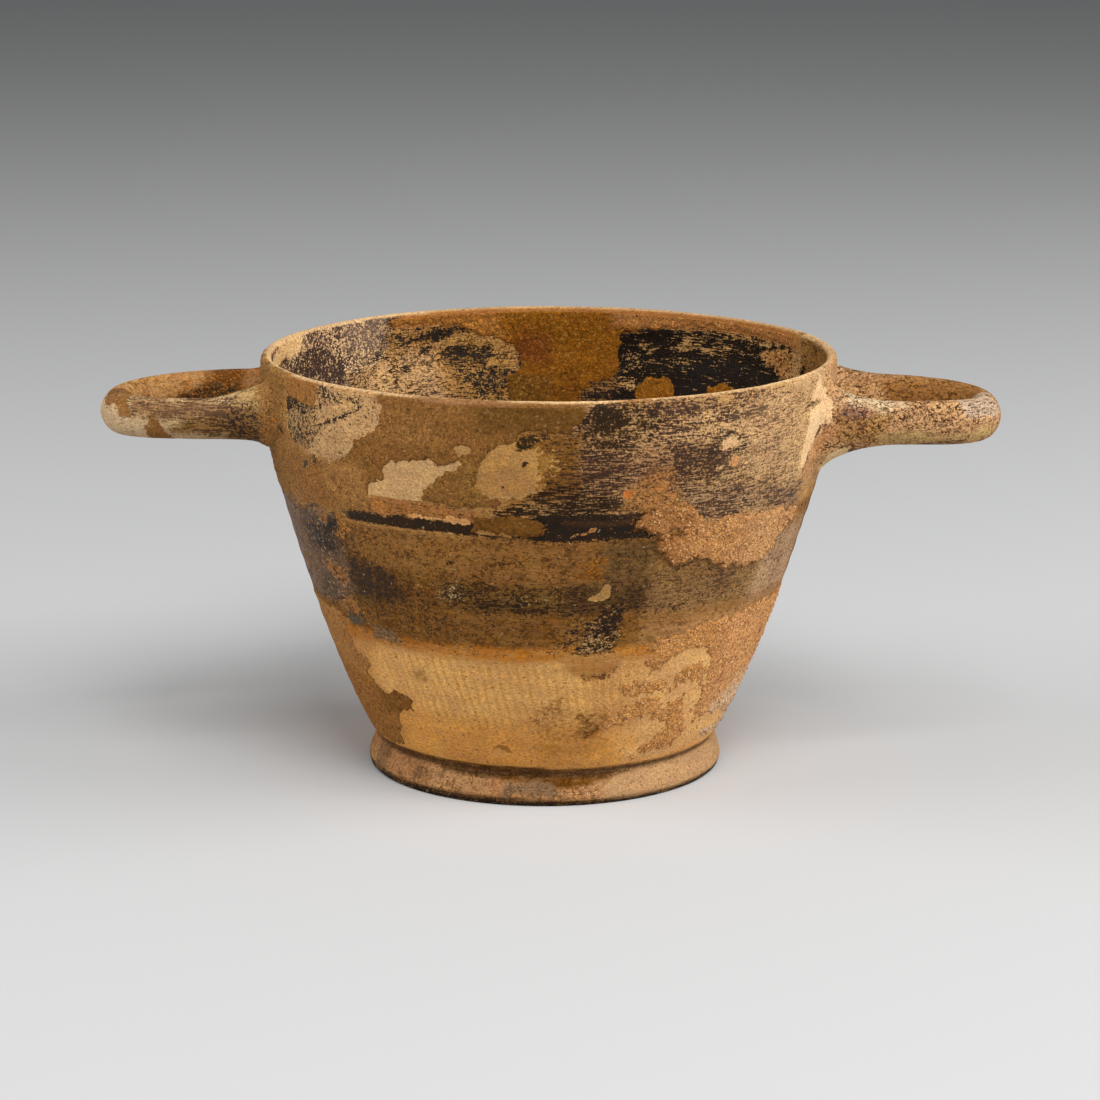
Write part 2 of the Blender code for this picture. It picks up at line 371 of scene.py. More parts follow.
@dataclass(frozen=True)
class CupForm:
    """The cup's turned shape, in millimetres, as the solid has it."""

    cup_height: float = 88.1
    foot_height: float = 7.1
    floor_height: float = 9.0
    recess_depth: float = 3.6
    lip_radius: float = 60.0
    shoulder_depth: float = 8.9
    shoulder_swell: float = 0.1
    waist_radius: float = 36.1
    foot_radius: float = 37.5
    foot_edge_radius: float = 36.8
    foot_flank_height: float = 1.8
    foot_groove_depth: float = 0.6
    foot_ring_width: float = 5.8
    recess_slope: float = 1.5
    waist_flare_degrees: float = 57.0
    waist_flare_pull: float = 17.2
    shoulder_pull: float = 8.8
    lip_thickness: float = 2.2
    wall_thickness: float = 3.1
    floor_corner_radius: float = 9.0
    floor_rise: float = 0.7
    foot_middle: float = -1.2
    lean: float = 1.0
    curve_steps: int = 60
    round_steps: int = 12
    # How far the handles of a cubic reach along a quarter circle, as a share of its radius.
    round_pull: float = 0.55

    @staticmethod
    def cubic(corners: list[Span], steps: int) -> np.ndarray:
        """Points along a cubic curve with four corners, both ends included."""
        share = np.linspace(0.0, 1.0, steps + 1)[:, None]
        rest = 1.0 - share
        start, start_handle, end_handle, end = (np.array(corner) for corner in corners)
        near_start = rest**3 * start + 3 * rest**2 * share * start_handle
        return near_start + 3 * rest * share**2 * end_handle + share**3 * end

    @staticmethod
    def arc(centre: Span, radii: Span, start: float, end: float, steps: int) -> np.ndarray:
        """Points of an elliptical arc between two angles in degrees."""
        angles = np.radians(np.linspace(start, end, steps + 1))
        return np.stack([centre[0] + radii[0] * np.cos(angles), centre[1] + radii[1] * np.sin(angles)], axis=1)

    def wall(self) -> np.ndarray:
        """The outside of the wall from the waist to the shoulder, as (radius, height)."""
        waist = (self.waist_radius, self.foot_height)
        shoulder = (self.lip_radius + self.shoulder_swell, self.cup_height - self.shoulder_depth)
        flare = math.radians(self.waist_flare_degrees)
        waist_handle = (
            waist[0] + self.waist_flare_pull * math.cos(flare),
            waist[1] + self.waist_flare_pull * math.sin(flare),
        )
        shoulder_handle = (shoulder[0], shoulder[1] - self.shoulder_pull)
        return self.cubic([waist, waist_handle, shoulder_handle, shoulder], self.curve_steps)

    def outside(self) -> np.ndarray:
        """The outside from the waist to just under the lip's rounding."""
        return np.vstack([self.wall(), [(self.lip_radius, self.cup_height - self.lip_thickness / 2)]])

    def thickness(self, count: int) -> np.ndarray:
        """The wall's thickness at evenly numbered points from the waist to the lip."""
        share = np.linspace(0.0, 1.0, count)
        return self.wall_thickness - (self.wall_thickness - self.lip_thickness) * share**3

    def inside(self) -> np.ndarray:
        """The inside from the waist's height to the lip: the outside moved square to itself."""
        outside = self.outside()
        direction = np.gradient(outside, axis=0)
        direction /= np.linalg.norm(direction, axis=1)[:, None]
        thickness = self.thickness(len(outside))[:, None]
        return outside + thickness * np.stack([-direction[:, 1], direction[:, 0]], axis=1)

    def foot(self) -> tuple[np.ndarray, np.ndarray, np.ndarray]:
        """The recess under the foot, its resting ring and its flank up to the waist."""
        ring_inner = self.foot_edge_radius - self.foot_ring_width
        recess = np.array([(0.0, self.recess_depth), (ring_inner - self.recess_slope, self.recess_depth)])
        ring = np.array([(ring_inner, 0.0), (self.foot_edge_radius, 0.0)])
        flank = self.arc(
            (self.foot_edge_radius, self.foot_flank_height),
            (self.foot_radius - self.foot_edge_radius, self.foot_flank_height),
            -90.0,
            0.0,
            self.round_steps,
        )
        widest = (self.foot_radius, self.foot_flank_height)
        groove = (self.waist_radius - self.foot_groove_depth, self.foot_height - self.foot_groove_depth)
        rise = groove[1] - widest[1]
        crown = self.cubic(
            [widest, (widest[0], widest[1] + rise / 3), (groove[0] + rise / 6, groove[1] - rise / 6), groove],
            self.round_steps,
        )
        return recess, ring, np.vstack([flank, crown[1:]])

    def floor(self) -> tuple[np.ndarray, np.ndarray]:
        """The inside wall from the lip down to the floor's rounded corner, and from there to the middle."""
        inside = self.inside()
        corner_top = self.floor_height + self.floor_corner_radius
        wall = inside[inside[:, 1] > corner_top][::-1]
        low = wall[-1]
        below = wall[-2] - low
        pull = self.round_pull * (low[1] - self.floor_height) / below[1]
        edge = (low[0] - self.floor_corner_radius, self.floor_height)
        corner = self.cubic(
            [low, low - pull * below, (edge[0] + self.round_pull * self.floor_corner_radius, edge[1]), edge],
            self.round_steps,
        )
        middle = np.array([edge, (0.0, self.floor_height + self.floor_rise)])
        return wall, np.vstack([corner[1:], middle[1:]])

    def outside_radius(self, heights: np.ndarray) -> np.ndarray:
        """The outside wall's radius at heights between the waist and the lip."""
        outside = self.outside()
        return np.interp(heights, outside[:, 1], outside[:, 0])

    def inside_radius(self, heights: np.ndarray) -> np.ndarray:
        """The inside wall's radius at heights between the floor and the lip."""
        inside = self.inside()
        return np.interp(heights, inside[:, 1], inside[:, 0])

    def axis_at(self, heights: np.ndarray) -> np.ndarray:
        """How far the leaning axis stands to +X at heights above the table."""
        return self.foot_middle + self.lean * heights / self.cup_height

    def place(self, azimuths: np.ndarray, radii: np.ndarray, heights: np.ndarray) -> np.ndarray:
        """Points in space from azimuths in degrees, radii and heights in millimetres."""
        turn = np.radians(azimuths)
        return np.stack([self.axis_at(heights) + radii * np.sin(turn), -radii * np.cos(turn), heights], axis=-1)


@dataclass(frozen=True)
class Turning:
    """Turns the cup's outline round its leaning axis, as the wheel did.

    Attributes:
        form: The cup's turned shape.
        steps: How many steps the turn has.
        crowding: How much closer than even the steps are at the front, and further apart at the back, as a share.
        wall_row: Spacing of the rows on the outside of the wall, in millimetres.
        lip_row: Their spacing on the lip's rounding.
        upper_inside_row: Their spacing on the inside wall where it is seen.
        lower_inside_row: Their spacing below that and on the floor.
        foot_row: Their spacing on the foot's flank.
        ring_row: Their spacing on the resting ring.
        recess_row: Their spacing in the recess under the foot.
        visible_inside_depth: How far below the lip the inside counts as seen, in millimetres.
        seam: Points this near each other become one, where the turn closes and at the axis, in millimetres.
    """

    form: CupForm
    steps: int = 380
    crowding: float = 0.3
    wall_row: float = 0.64
    lip_row: float = 0.35
    upper_inside_row: float = 0.85
    lower_inside_row: float = 3.4
    foot_row: float = 0.6
    ring_row: float = 1.3
    recess_row: float = 3.0
    visible_inside_depth: float = 26.0
    seam: float = 0.01

    @staticmethod
    def spaced(line: np.ndarray, row: float) -> np.ndarray:
        """The line's points set evenly, about one row apart, without its last point."""
        run = np.concatenate([[0.0], np.cumsum(np.linalg.norm(np.diff(line, axis=0), axis=1))])
        count = max(1, round(run[-1] / row))
        along = np.linspace(0.0, run[-1], count + 1)[:-1]
        return np.stack([np.interp(along, run, line[:, axis]) for axis in (0, 1)], axis=1)

    def outline(self) -> np.ndarray:
        """The closed outline from the middle of the underside to the middle of the floor, as (radius, height)."""
        form = self.form
        recess, ring, flank = form.foot()
        outside = form.outside()
        half = form.lip_thickness / 2
        lip = form.arc((form.lip_radius - half, form.cup_height - half), (half, half), 0.0, 180.0, form.round_steps)
        wall, floor = form.floor()
        wall = np.vstack([lip[-1], wall[1:]])
        seen = wall[:, 1] > form.cup_height - self.visible_inside_depth
        split = int(seen.sum())
        return np.vstack(
            [
                self.spaced(recess, self.recess_row),
                self.spaced(np.vstack([recess[-1], ring]), self.ring_row),
                self.spaced(flank, self.foot_row),
                self.spaced(np.vstack([flank[-1], outside]), self.wall_row),
                self.spaced(lip, self.lip_row),
                self.spaced(wall[:split], self.upper_inside_row),
                self.spaced(np.vstack([wall[split - 1 :], floor]), self.lower_inside_row),
                floor[-1:],
            ]
        )

    def tree(self) -> Tree:
        """The node tree that turns the outline's vertices into the rows of a closed wall."""
        inputs = {
            "Turning steps": "Int",
            "Crowding to the front": "Float",
            "Foot middle": "Float",
            "Lean per metre": "Float",
        }
        tree, given = new_shaper("turned on the wheel", inputs)
        size = add_node(tree, "GeometryNodeAttributeDomainSize", {"Geometry": given["Geometry"]})
        rows = size.outputs["Point Count"]
        columns = add_node(tree, "ShaderNodeMath", {0: given["Turning steps"], 1: 1.0}, operation="ADD").outputs[0]
        sides = {"Size X": 1.0, "Size Y": 1.0, "Vertices X": columns, "Vertices Y": rows}
        grid = add_node(tree, "GeometryNodeMeshGrid", sides)
        number = add_node(tree, "GeometryNodeInputIndex").outputs[0]
        row = add_node(tree, "ShaderNodeMath", {0: number, 1: rows}, operation="MODULO").outputs[0]
        place = add_node(tree, "GeometryNodeInputPosition").outputs[0]
        asked = {"Geometry": given["Geometry"], "Value": place, "Index": row}
        outline = add_node(tree, "GeometryNodeSampleIndex", asked, data_type="FLOAT_VECTOR").outputs[0]
        point = add_node(tree, "ShaderNodeSeparateXYZ", {0: outline}).outputs
        known = {
            "number": number,
            "rows": rows,
            "steps": given["Turning steps"],
            "full turn": math.tau,
            "crowding": given["Crowding to the front"],
            "radius": point[0],
            "minus one": -1.0,
            "height": point[2],
            "lean": given["Lean per metre"],
            "foot middle": given["Foot middle"],
        }
        for result, operation, *terms in (
            ("columns before", "DIVIDE", "number", "rows"),
            ("column", "FLOOR", "columns before"),
            ("share of a turn", "DIVIDE", "column", "steps"),
            ("even angle", "MULTIPLY", "share of a turn", "full turn"),
            ("swing", "SINE", "even angle"),
            ("crowd", "MULTIPLY", "swing", "crowding"),
            ("angle", "SUBTRACT", "even angle", "crowd"),
            ("sine", "SINE", "angle"),
            ("cosine", "COSINE", "angle"),
            ("across", "MULTIPLY", "radius", "sine"),
            ("towards", "MULTIPLY", "radius", "cosine"),
            ("back", "MULTIPLY", "towards", "minus one"),
            ("axis", "MULTIPLY_ADD", "height", "lean", "foot middle"),
            ("leaning", "ADD", "across", "axis"),
        ):
            numbers = {slot: known[term] for slot, term in enumerate(terms)}
            known[result] = add_node(tree, "ShaderNodeMath", numbers, operation=operation).outputs[0]
        turned = add_node(tree, "ShaderNodeCombineXYZ", {0: known["leaning"], 1: known["back"], 2: known["height"]})
        moved = {"Geometry": grid.outputs["Mesh"], "Position": turned.outputs[0]}
        wall = add_node(tree, "GeometryNodeSetPosition", moved).outputs[0]
        seam = {"Geometry": wall, "Distance": self.seam * MM}
        closed = add_node(tree, "GeometryNodeMergeByDistance", seam).outputs[0]
        end_shaper(tree, closed, given["Finish"])
        return tree

    def build(self, name: str, finish: bpy.types.Material) -> bpy.types.Object:
        """Turns the vessel without its handles.

        Args:
            name: The object's name.
            finish: The material that its tree sets.

        Returns:
            One closed plain mesh.
        """
        outline = self.outline()
        rows = np.stack([outline[:, 0], np.zeros(len(outline)), outline[:, 1]], axis=1)
        values = {
            "Turning steps": self.steps,
            "Crowding to the front": self.crowding,
            "Foot middle": self.form.foot_middle * MM,
            "Lean per metre": self.form.lean / self.form.cup_height,
            "Finish": finish,
        }
        vessel = shaped(new_mesh(name, rows, []), self.tree(), values)
        face_outward(vessel)
        return vessel


@dataclass(frozen=True)
class Handle:
    """One horizontal loop handle: an oval strap with swelling roots, luted under the lip.

    Attributes:
        form: The turned shape that it sits on.
        sign: 1 for the right handle and -1 for the left one.
        reach: How far its outermost point is from the axis, in millimetres like all lengths below.
        depth: How far its middle line is under the lip at the wall.
        droop: How much lower its middle line is at the tip.
        section_height: The strap's height.
        root_length: How far from the wall its roots start to swell.
        root_rise: How much higher its top is at the wall than in the loop.
        root_drop: How much lower its underside is there.
        near_rise: How much higher its near limb's top is at the wall, where that grows in a way of its own.
        near_length: How far from the wall that starts.
        near_curve: How late it grows: 1 is evenly, and more is mostly near the wall.
        spread: How far apart the middles of its limbs start.
        narrowing: How far the curve's handle at each root turns in.
        section_width: The strap's width.
        tip_pull: How far the curve's handle at the tip reaches sideways.
        limb_pull: How far the curve's handle at each root reaches outwards.
        root_side_swell: How much wider the strap is on each side at the wall.
        sides: How many sides its section has.
        step: Spacing of its sections.
    """

    form: CupForm
    sign: float
    reach: float
    depth: float
    droop: float
    section_height: float
    root_length: float
    root_rise: float
    root_drop: float
    near_rise: float = 0.0
    near_length: float = 12.0
    near_curve: float = 1.3
    spread: float = 36.0
    narrowing: float = 0.4
    section_width: float = 7.2
    tip_pull: float = 15.8
    limb_pull: float = 25.5
    root_side_swell: float = 1.8
    sides: int = 30
    step: float = 1.0

    def path(self) -> np.ndarray:
        """The strap's middle line from root to root, as points in space."""
        form = self.form
        height = form.cup_height - self.depth
        start = float(form.outside_radius(np.array([height]))[0])
        buried = start - 2 * form.wall_thickness - self.section_width
        tip = self.reach - self.section_width / 2
        half = form.cubic(
            [
                (buried, self.spread / 2),
                (buried + self.limb_pull, self.spread / 2 - self.narrowing),
                (tip, self.tip_pull),
                (tip, 0.0),
            ],
            4 * form.curve_steps,
        )
        half = half[np.hypot(half[:, 0], half[:, 1]) > start]
        plan = np.vstack([half, half[-2::-1] * (1.0, -1.0)])
        plan = np.vstack([Turning.spaced(plan, self.step), plan[-1:]])
        way_out = np.clip((plan[:, 0] - start) / (tip - start), 0.0, 1.0)
        return np.stack([self.sign * plan[:, 0], plan[:, 1], height - self.droop * way_out**2], axis=1)

    def from_wall(self, path: np.ndarray) -> np.ndarray:
        """How far each point of the path is from the wall, in millimetres."""
        wall = self.form.outside_radius(np.array([self.form.cup_height - self.depth]))[0]
        return np.hypot(path[:, 0], path[:, 1]) - wall

    def swell(self, path: np.ndarray) -> np.ndarray:
        """How far into its roots the strap is at each point of its path: 0 in the loop, 1 at the wall."""
        depth = 1.0 - self.from_wall(path) / self.root_length
        return 1.0 - np.sqrt(1.0 - np.clip(depth, 0.0, 1.0) ** 2)

    def growth(self, path: np.ndarray) -> np.ndarray:
        """How much higher the strap's top is than in the loop, where its near limb may grow more slowly."""
        depth = np.clip(1.0 - self.from_wall(path) / self.near_length, 0.0, 1.0)
        near = np.where(path[:, 1] < 0.0, self.near_rise * depth**self.near_curve, 0.0)
        return np.maximum(self.root_rise * self.swell(path), near)

    def pressed(self, ring: np.ndarray) -> np.ndarray:
        """A ring of the strap pressed along X against the middle of the wall."""
        middle = self.form.outside_radius(ring[:, 2]) - self.form.wall_thickness / 2
        across = self.form.axis_at(ring[:, 2]) + self.sign * np.sqrt(middle**2 - ring[:, 1] ** 2)
        return np.stack([across, ring[:, 1], ring[:, 2]], axis=1)

    def build(self) -> bpy.types.Object:
        """Makes the strap as a closed tube whose ends lie against the middle of the wall."""
        path = self.path()
        swell = self.swell(path)
        direction = np.gradient(path[:, :2], axis=0)
        direction /= np.linalg.norm(direction, axis=1)[:, None]
        angles = np.linspace(0.0, math.tau, self.sides, endpoint=False)
        rings = []
        for place, along, grown, growth in zip(path, direction, swell, self.growth(path)):
            out = (self.section_width / 2 + self.root_side_swell * grown) * np.cos(angles)
            rise = self.section_height / 2 + growth
            drop = self.section_height / 2 + self.root_drop * grown
            up = np.sin(angles) * np.where(np.sin(angles) > 0, rise, drop)
            ring = np.stack([-along[1] * out, along[0] * out, up], axis=1) + place
            ring[:, 0] += self.form.axis_at(ring[:, 2])
            rings.append(ring)
        rings = [self.pressed(rings[0]), *rings, self.pressed(rings[-1])]
        points = np.vstack(rings)
        faces = [
            (
                row * self.sides + side,
                row * self.sides + (side + 1) % self.sides,
                (row + 1) * self.sides + (side + 1) % self.sides,
                (row + 1) * self.sides + side,
            )
            for row in range(len(rings) - 1)
            for side in range(self.sides)
        ]
        faces.append(tuple(range(self.sides)))
        faces.append(tuple(len(points) - 1 - side for side in range(self.sides)))
        item = new_mesh("handle", points, faces)
        face_outward(item)
        return item


@dataclass(frozen=True)
class Tone:
    """What a painted place changes. What is None stays as it was.

    Attributes:
        ground: Colour of the clay itself.
        film: How thick a brown film lies on the clay, 0 to 1. At the foot's groove and resting edge it lays painted
            shade instead, and by the right handle partly painted sheen.
        film_tint: Colour of that film, and of that painted shade and sheen.
        slip: How much of the dark slip is left, 0 to 1.
        slip_tint: Colour of the slip. On the left flank it is lightened as painted sheen.
        flecked: Whether the slip wore off in streaks along the wheel, 0, or in flecks, 1.
        flake: How much of a sharp-edged bare place is here, 0 to 1, where a crust fell off with the slip.
        flake_tint: Colour of that bare clay.
        mud: How much of it is spotted with dried mud, 0 to 1.
        mud_tint: Colour of the mud.
        strokes: How strongly thin upright brush strokes show, 0 to 1.
        cracked: How much of it is covered with fine winding cracks, 0 to 1.
        crust: Height of a crumbly crust that hugs the form, in millimetres.
    """

    ground: str | None = None
    film: float | None = None
    film_tint: str | None = None
    slip: float | None = None
    slip_tint: str | None = None
    flecked: float | None = None
    flake: float | None = None
    flake_tint: str | None = None
    mud: float | None = None
    mud_tint: str | None = None
    strokes: float | None = None
    cracked: float | None = None
    crust: float | None = None


@dataclass
class SurfacePoints:
    """Places on the cup, each known by its point in space and by where it is on the wall."""

    form: CupForm
    points: np.ndarray
    azimuth: np.ndarray = field(init=False)
    radius: np.ndarray = field(init=False)
    inside: np.ndarray = field(init=False)
    off_wall: np.ndarray = field(init=False)
    known: dict[tuple[int, float, int], np.ndarray] = field(init=False, default_factory=dict)

    def __post_init__(self) -> None:
        """Works out where each point is on the wall."""
        height = self.points[:, 2]
        across = self.points[:, 0] - self.form.axis_at(height)
        self.azimuth = np.degrees(np.arctan2(across, -self.points[:, 1]))
        self.radius = np.hypot(across, self.points[:, 1])
        outside = self.form.outside_radius(height)
        self.inside = (self.radius < outside - self.form.lip_thickness / 2) & (height > self.form.foot_height)
        self.off_wall = self.radius - outside

    @property
    def height(self) -> np.ndarray:
        """Heights above the table."""
        return self.points[:, 2]

    def on(self, side: Side) -> np.ndarray:
        """1 for the points on that face of the wall and 0 for the others."""
        return np.where(self.inside == (side is Side.INSIDE), 1.0, 0.0)

    def rough(self, grain: Grain, size: float, octaves: int = 1) -> np.ndarray:
        """The grain's noise at each place, worked out once for each size."""
        key = (grain.seed, size, octaves)
        if key not in self.known:
            self.known[key] = grain.at(self.points, size, octaves)
        return self.known[key]

    def turn_from(self, azimuth: float) -> np.ndarray:
        """Degrees round the axis from an azimuth, between -180 and 180."""
        return (self.azimuth - azimuth + 180.0) % 360.0 - 180.0


def outline_distance(corners: np.ndarray, spots: np.ndarray) -> np.ndarray:
    """How far each spot in a plane is from a closed outline, positive within it."""
    nearest = np.full(len(spots), np.inf)
    within = np.zeros(len(spots), dtype=bool)
    for start, end in zip(corners, np.roll(corners, -1, axis=0)):
        edge = end - start
        share = np.clip(((spots - start) @ edge) / max(edge @ edge, TINY), 0.0, 1.0)
        gap = spots - start - share[:, None] * edge
        nearest = np.minimum(nearest, np.hypot(gap[:, 0], gap[:, 1]))
        crosses = (start[1] > spots[:, 1]) != (end[1] > spots[:, 1])
        rise = edge[1] if edge[1] != 0 else TINY
        within ^= crosses & (spots[:, 0] < start[0] + (spots[:, 1] - start[1]) * edge[0] / rise)
    return np.where(within, nearest, -nearest)


@dataclass(frozen=True)
class Band:
    """A band round the wall between two heights, all the way round or between two azimuths."""

    low: float
    high: float
    tone: Tone
    soft: float = 1.0
    start: float = -180.0
    end: float = 180.0
    fade: float = 3.0
    side: Side = Side.OUTSIDE
    # How far its edges and its ends wander, as a share of their softness, and over how many millimetres.
    edge_wander: Span = (0.3, 9.0)
    end_wander: Span = (0.4, 4.0)

    def cover(self, places: SurfacePoints, grain: Grain) -> np.ndarray:
        """How strongly each place is painted, 0 to 1."""
        share, size = self.edge_wander
        height = places.height + share * self.soft * places.rough(grain, size)
        cover = smooth_step(height, self.low - self.soft / 2, self.low + self.soft / 2)
        cover *= 1.0 - smooth_step(height, self.high - self.soft / 2, self.high + self.soft / 2)
        half = (self.end - self.start) / 2
        if half < 180.0:
            share, size = self.end_wander
            turn = np.abs(places.turn_from(self.start + half)) + self.fade * share * places.rough(grain, size)
            cover *= 1.0 - smooth_step(turn, half - self.fade / 2, half + self.fade / 2)
        return cover * places.on(self.side)


@dataclass(frozen=True)
class Patch:
    """A place on the wall with an outline of (azimuth, height) corners."""

    outline: tuple[Span, ...]
    tone: Tone = Tone()
    soft: float = 1.4
    ragged: float = 0.4
    ragged_size: float = 2.5
    # How far off the wall it reaches, and over what distance it fades there.
    reach: float = 1.5
    reach_fade: float = 2.0
    side: Side = Side.OUTSIDE

    def distance(self, places: SurfacePoints) -> np.ndarray:
        """Millimetres from the outline along the wall, positive within it."""
        corners = np.array(self.outline, dtype=float)
        middle = float(corners[:, 0].mean())
        scale = math.radians(1.0) * float(places.form.outside_radius(corners[:, 1].mean()))
        corners = np.stack([(corners[:, 0] - middle) * scale, corners[:, 1]], axis=1)
        return outline_distance(corners, np.stack([places.turn_from(middle) * scale, places.height], axis=1))

    def cover(self, places: SurfacePoints, grain: Grain) -> np.ndarray:
        """How strongly each place is painted, 0 to 1."""
        edge = self.distance(places) + self.ragged * places.rough(grain, self.ragged_size, 3)
        near = 1.0 - smooth_step(places.off_wall, self.reach, self.reach + self.reach_fade)
        return smooth_step(edge, -self.soft / 2, self.soft / 2) * near * places.on(self.side)


@dataclass(frozen=True)
class Flecks:
    """Small ovals of one tone, each by its middle (azimuth, height) and its half width and half height."""

    ovals: tuple[tuple[float, float, float, float], ...]
    tone: Tone
    soft: float = 0.6
    ragged: float = 0.7
    ragged_size: float = 1.6
    reach: Span = (1.0, 2.0)
    side: Side = Side.OUTSIDE

    def cover(self, places: SurfacePoints, grain: Grain) -> np.ndarray:
        """How strongly each place is painted, 0 to 1."""
        away = np.full(len(places.points), np.inf)
        for azimuth, height, half_width, half_height in self.ovals:
            across = np.radians(places.turn_from(azimuth)) * places.radius
            away = np.minimum(away, np.hypot(across / half_width, (places.height - height) / half_height))
        away += self.ragged * places.rough(grain, self.ragged_size, 2)
        near = 1.0 - smooth_step(places.off_wall, *self.reach)
        return (1.0 - smooth_step(away, 1.0 - self.soft / 2, 1.0 + self.soft / 2)) * near * places.on(self.side)


@dataclass(frozen=True)
class StrapPatch:
    """A place on a handle, as seen from the front: an outline of (x, height) corners on its near or far limb."""

    outline: tuple[Span, ...]
    tone: Tone
    far: bool = False
    soft: float = 1.2
    ragged: float = 0.8
    ragged_size: float = 2.0
    # Where it starts and is whole off the wall, and half the width of the blend between the limbs at the tip.
    off_wall: Span = (0.6, 1.6)
    tip_blend: float = 1.0

    def cover(self, places: SurfacePoints, grain: Grain) -> np.ndarray:
        """How strongly each place is painted, 0 to 1."""
        corners = np.array(self.outline, dtype=float)
        edge = outline_distance(corners, places.points[:, [0, 2]])
        edge += self.ragged * places.rough(grain, self.ragged_size, 3)
        deep = places.points[:, 1] if self.far else -places.points[:, 1]
        limb = smooth_step(deep, -self.tip_blend, self.tip_blend)
        off = smooth_step(places.off_wall, *self.off_wall)
        return smooth_step(edge, -self.soft / 2, self.soft / 2) * limb * off


@dataclass(frozen=True)
class Loops:
    """Everything that stands off the wall: the two handles."""

    tone: Tone
    off_wall: Span = (0.8, 3.5)
    heights: Span = (50.0, 60.0)
    ragged: float = 0.8
    ragged_size: float = 3.0

    def cover(self, places: SurfacePoints, grain: Grain) -> np.ndarray:
        """How strongly each place is painted, 0 to 1."""
        off = places.off_wall + self.ragged * places.rough(grain, self.ragged_size, 2)
        return smooth_step(off, *self.off_wall) * smooth_step(places.height, *self.heights)


Layer = Band | Patch | Flecks | StrapPatch | Loops


class Paint:
    """Paints places in order, each over the last, into the attributes that the cup's finish reads."""

    COLOURS = ("ground", "film_tint", "slip_tint", "flake_tint", "mud_tint")
    AMOUNTS = ("film", "slip", "flecked", "flake", "mud", "strokes", "cracked", "crust")
    BASE = Tone(
        ground="#ad7e48",
        film=0.1,
        film_tint="#6e4a25",
        slip=0.0,
        slip_tint="#2b1b0a",
        flecked=0.0,
        flake=0.0,
        flake_tint="#c09a68",
        mud=0.08,
        mud_tint="#83562a",
        strokes=0.0,
        cracked=0.3,
        crust=0.0,
    )

    def __init__(self, seed: int, base: Tone = BASE) -> None:
        """Starts from one tone all over."""
        self.grain = Grain(seed)
        self.base = base

    def fields(self, places: SurfacePoints, layers: tuple[Layer, ...]) -> dict[str, np.ndarray]:
        """Works out every attribute at every place.

        Args:
            places: Where to paint.
            layers: The painted places, the lowest first.

        Returns:
            For each name in COLOURS three values a place, and for each in AMOUNTS one.
        """
        count = len(places.points)
        values = {name: np.tile(linear(getattr(self.base, name))[:3], (count, 1)) for name in self.COLOURS}
        values |= {name: np.full(count, float(getattr(self.base, name))) for name in self.AMOUNTS}
        for layer in layers:
            cover = layer.cover(places, self.grain)
            for name in self.COLOURS + self.AMOUNTS:
                wanted = getattr(layer.tone, name)
                if wanted is None:
                    continue
                if name in self.COLOURS:
                    values[name] += cover[:, None] * (np.array(linear(wanted)[:3]) - values[name])
                else:
                    values[name] += cover * (wanted - values[name])
        return values

    def store(self, item: bpy.types.Object, values: dict[str, np.ndarray]) -> None:
        """Writes the painted values to an object's vertices."""
        for name, value in values.items():
            if name in self.COLOURS:
                attribute = item.data.attributes.new(name, "FLOAT_COLOR", "POINT")
                opaque = np.hstack([value, np.ones((len(value), 1))])
                attribute.data.foreach_set("color", opaque.astype(np.float32).ravel())
            else:
                attribute = item.data.attributes.new(name, "FLOAT", "POINT")
                attribute.data.foreach_set("value", value.astype(np.float32))


BLACK_SLIP = "#2a1a08"
PURPLE_SLIP = "#3d281b"
# The pale top of the lip: rubbed clay, lightened as painted highlight along the lip.
LIP_CREAM_AND_HIGHLIGHT = "#d2ac7c"

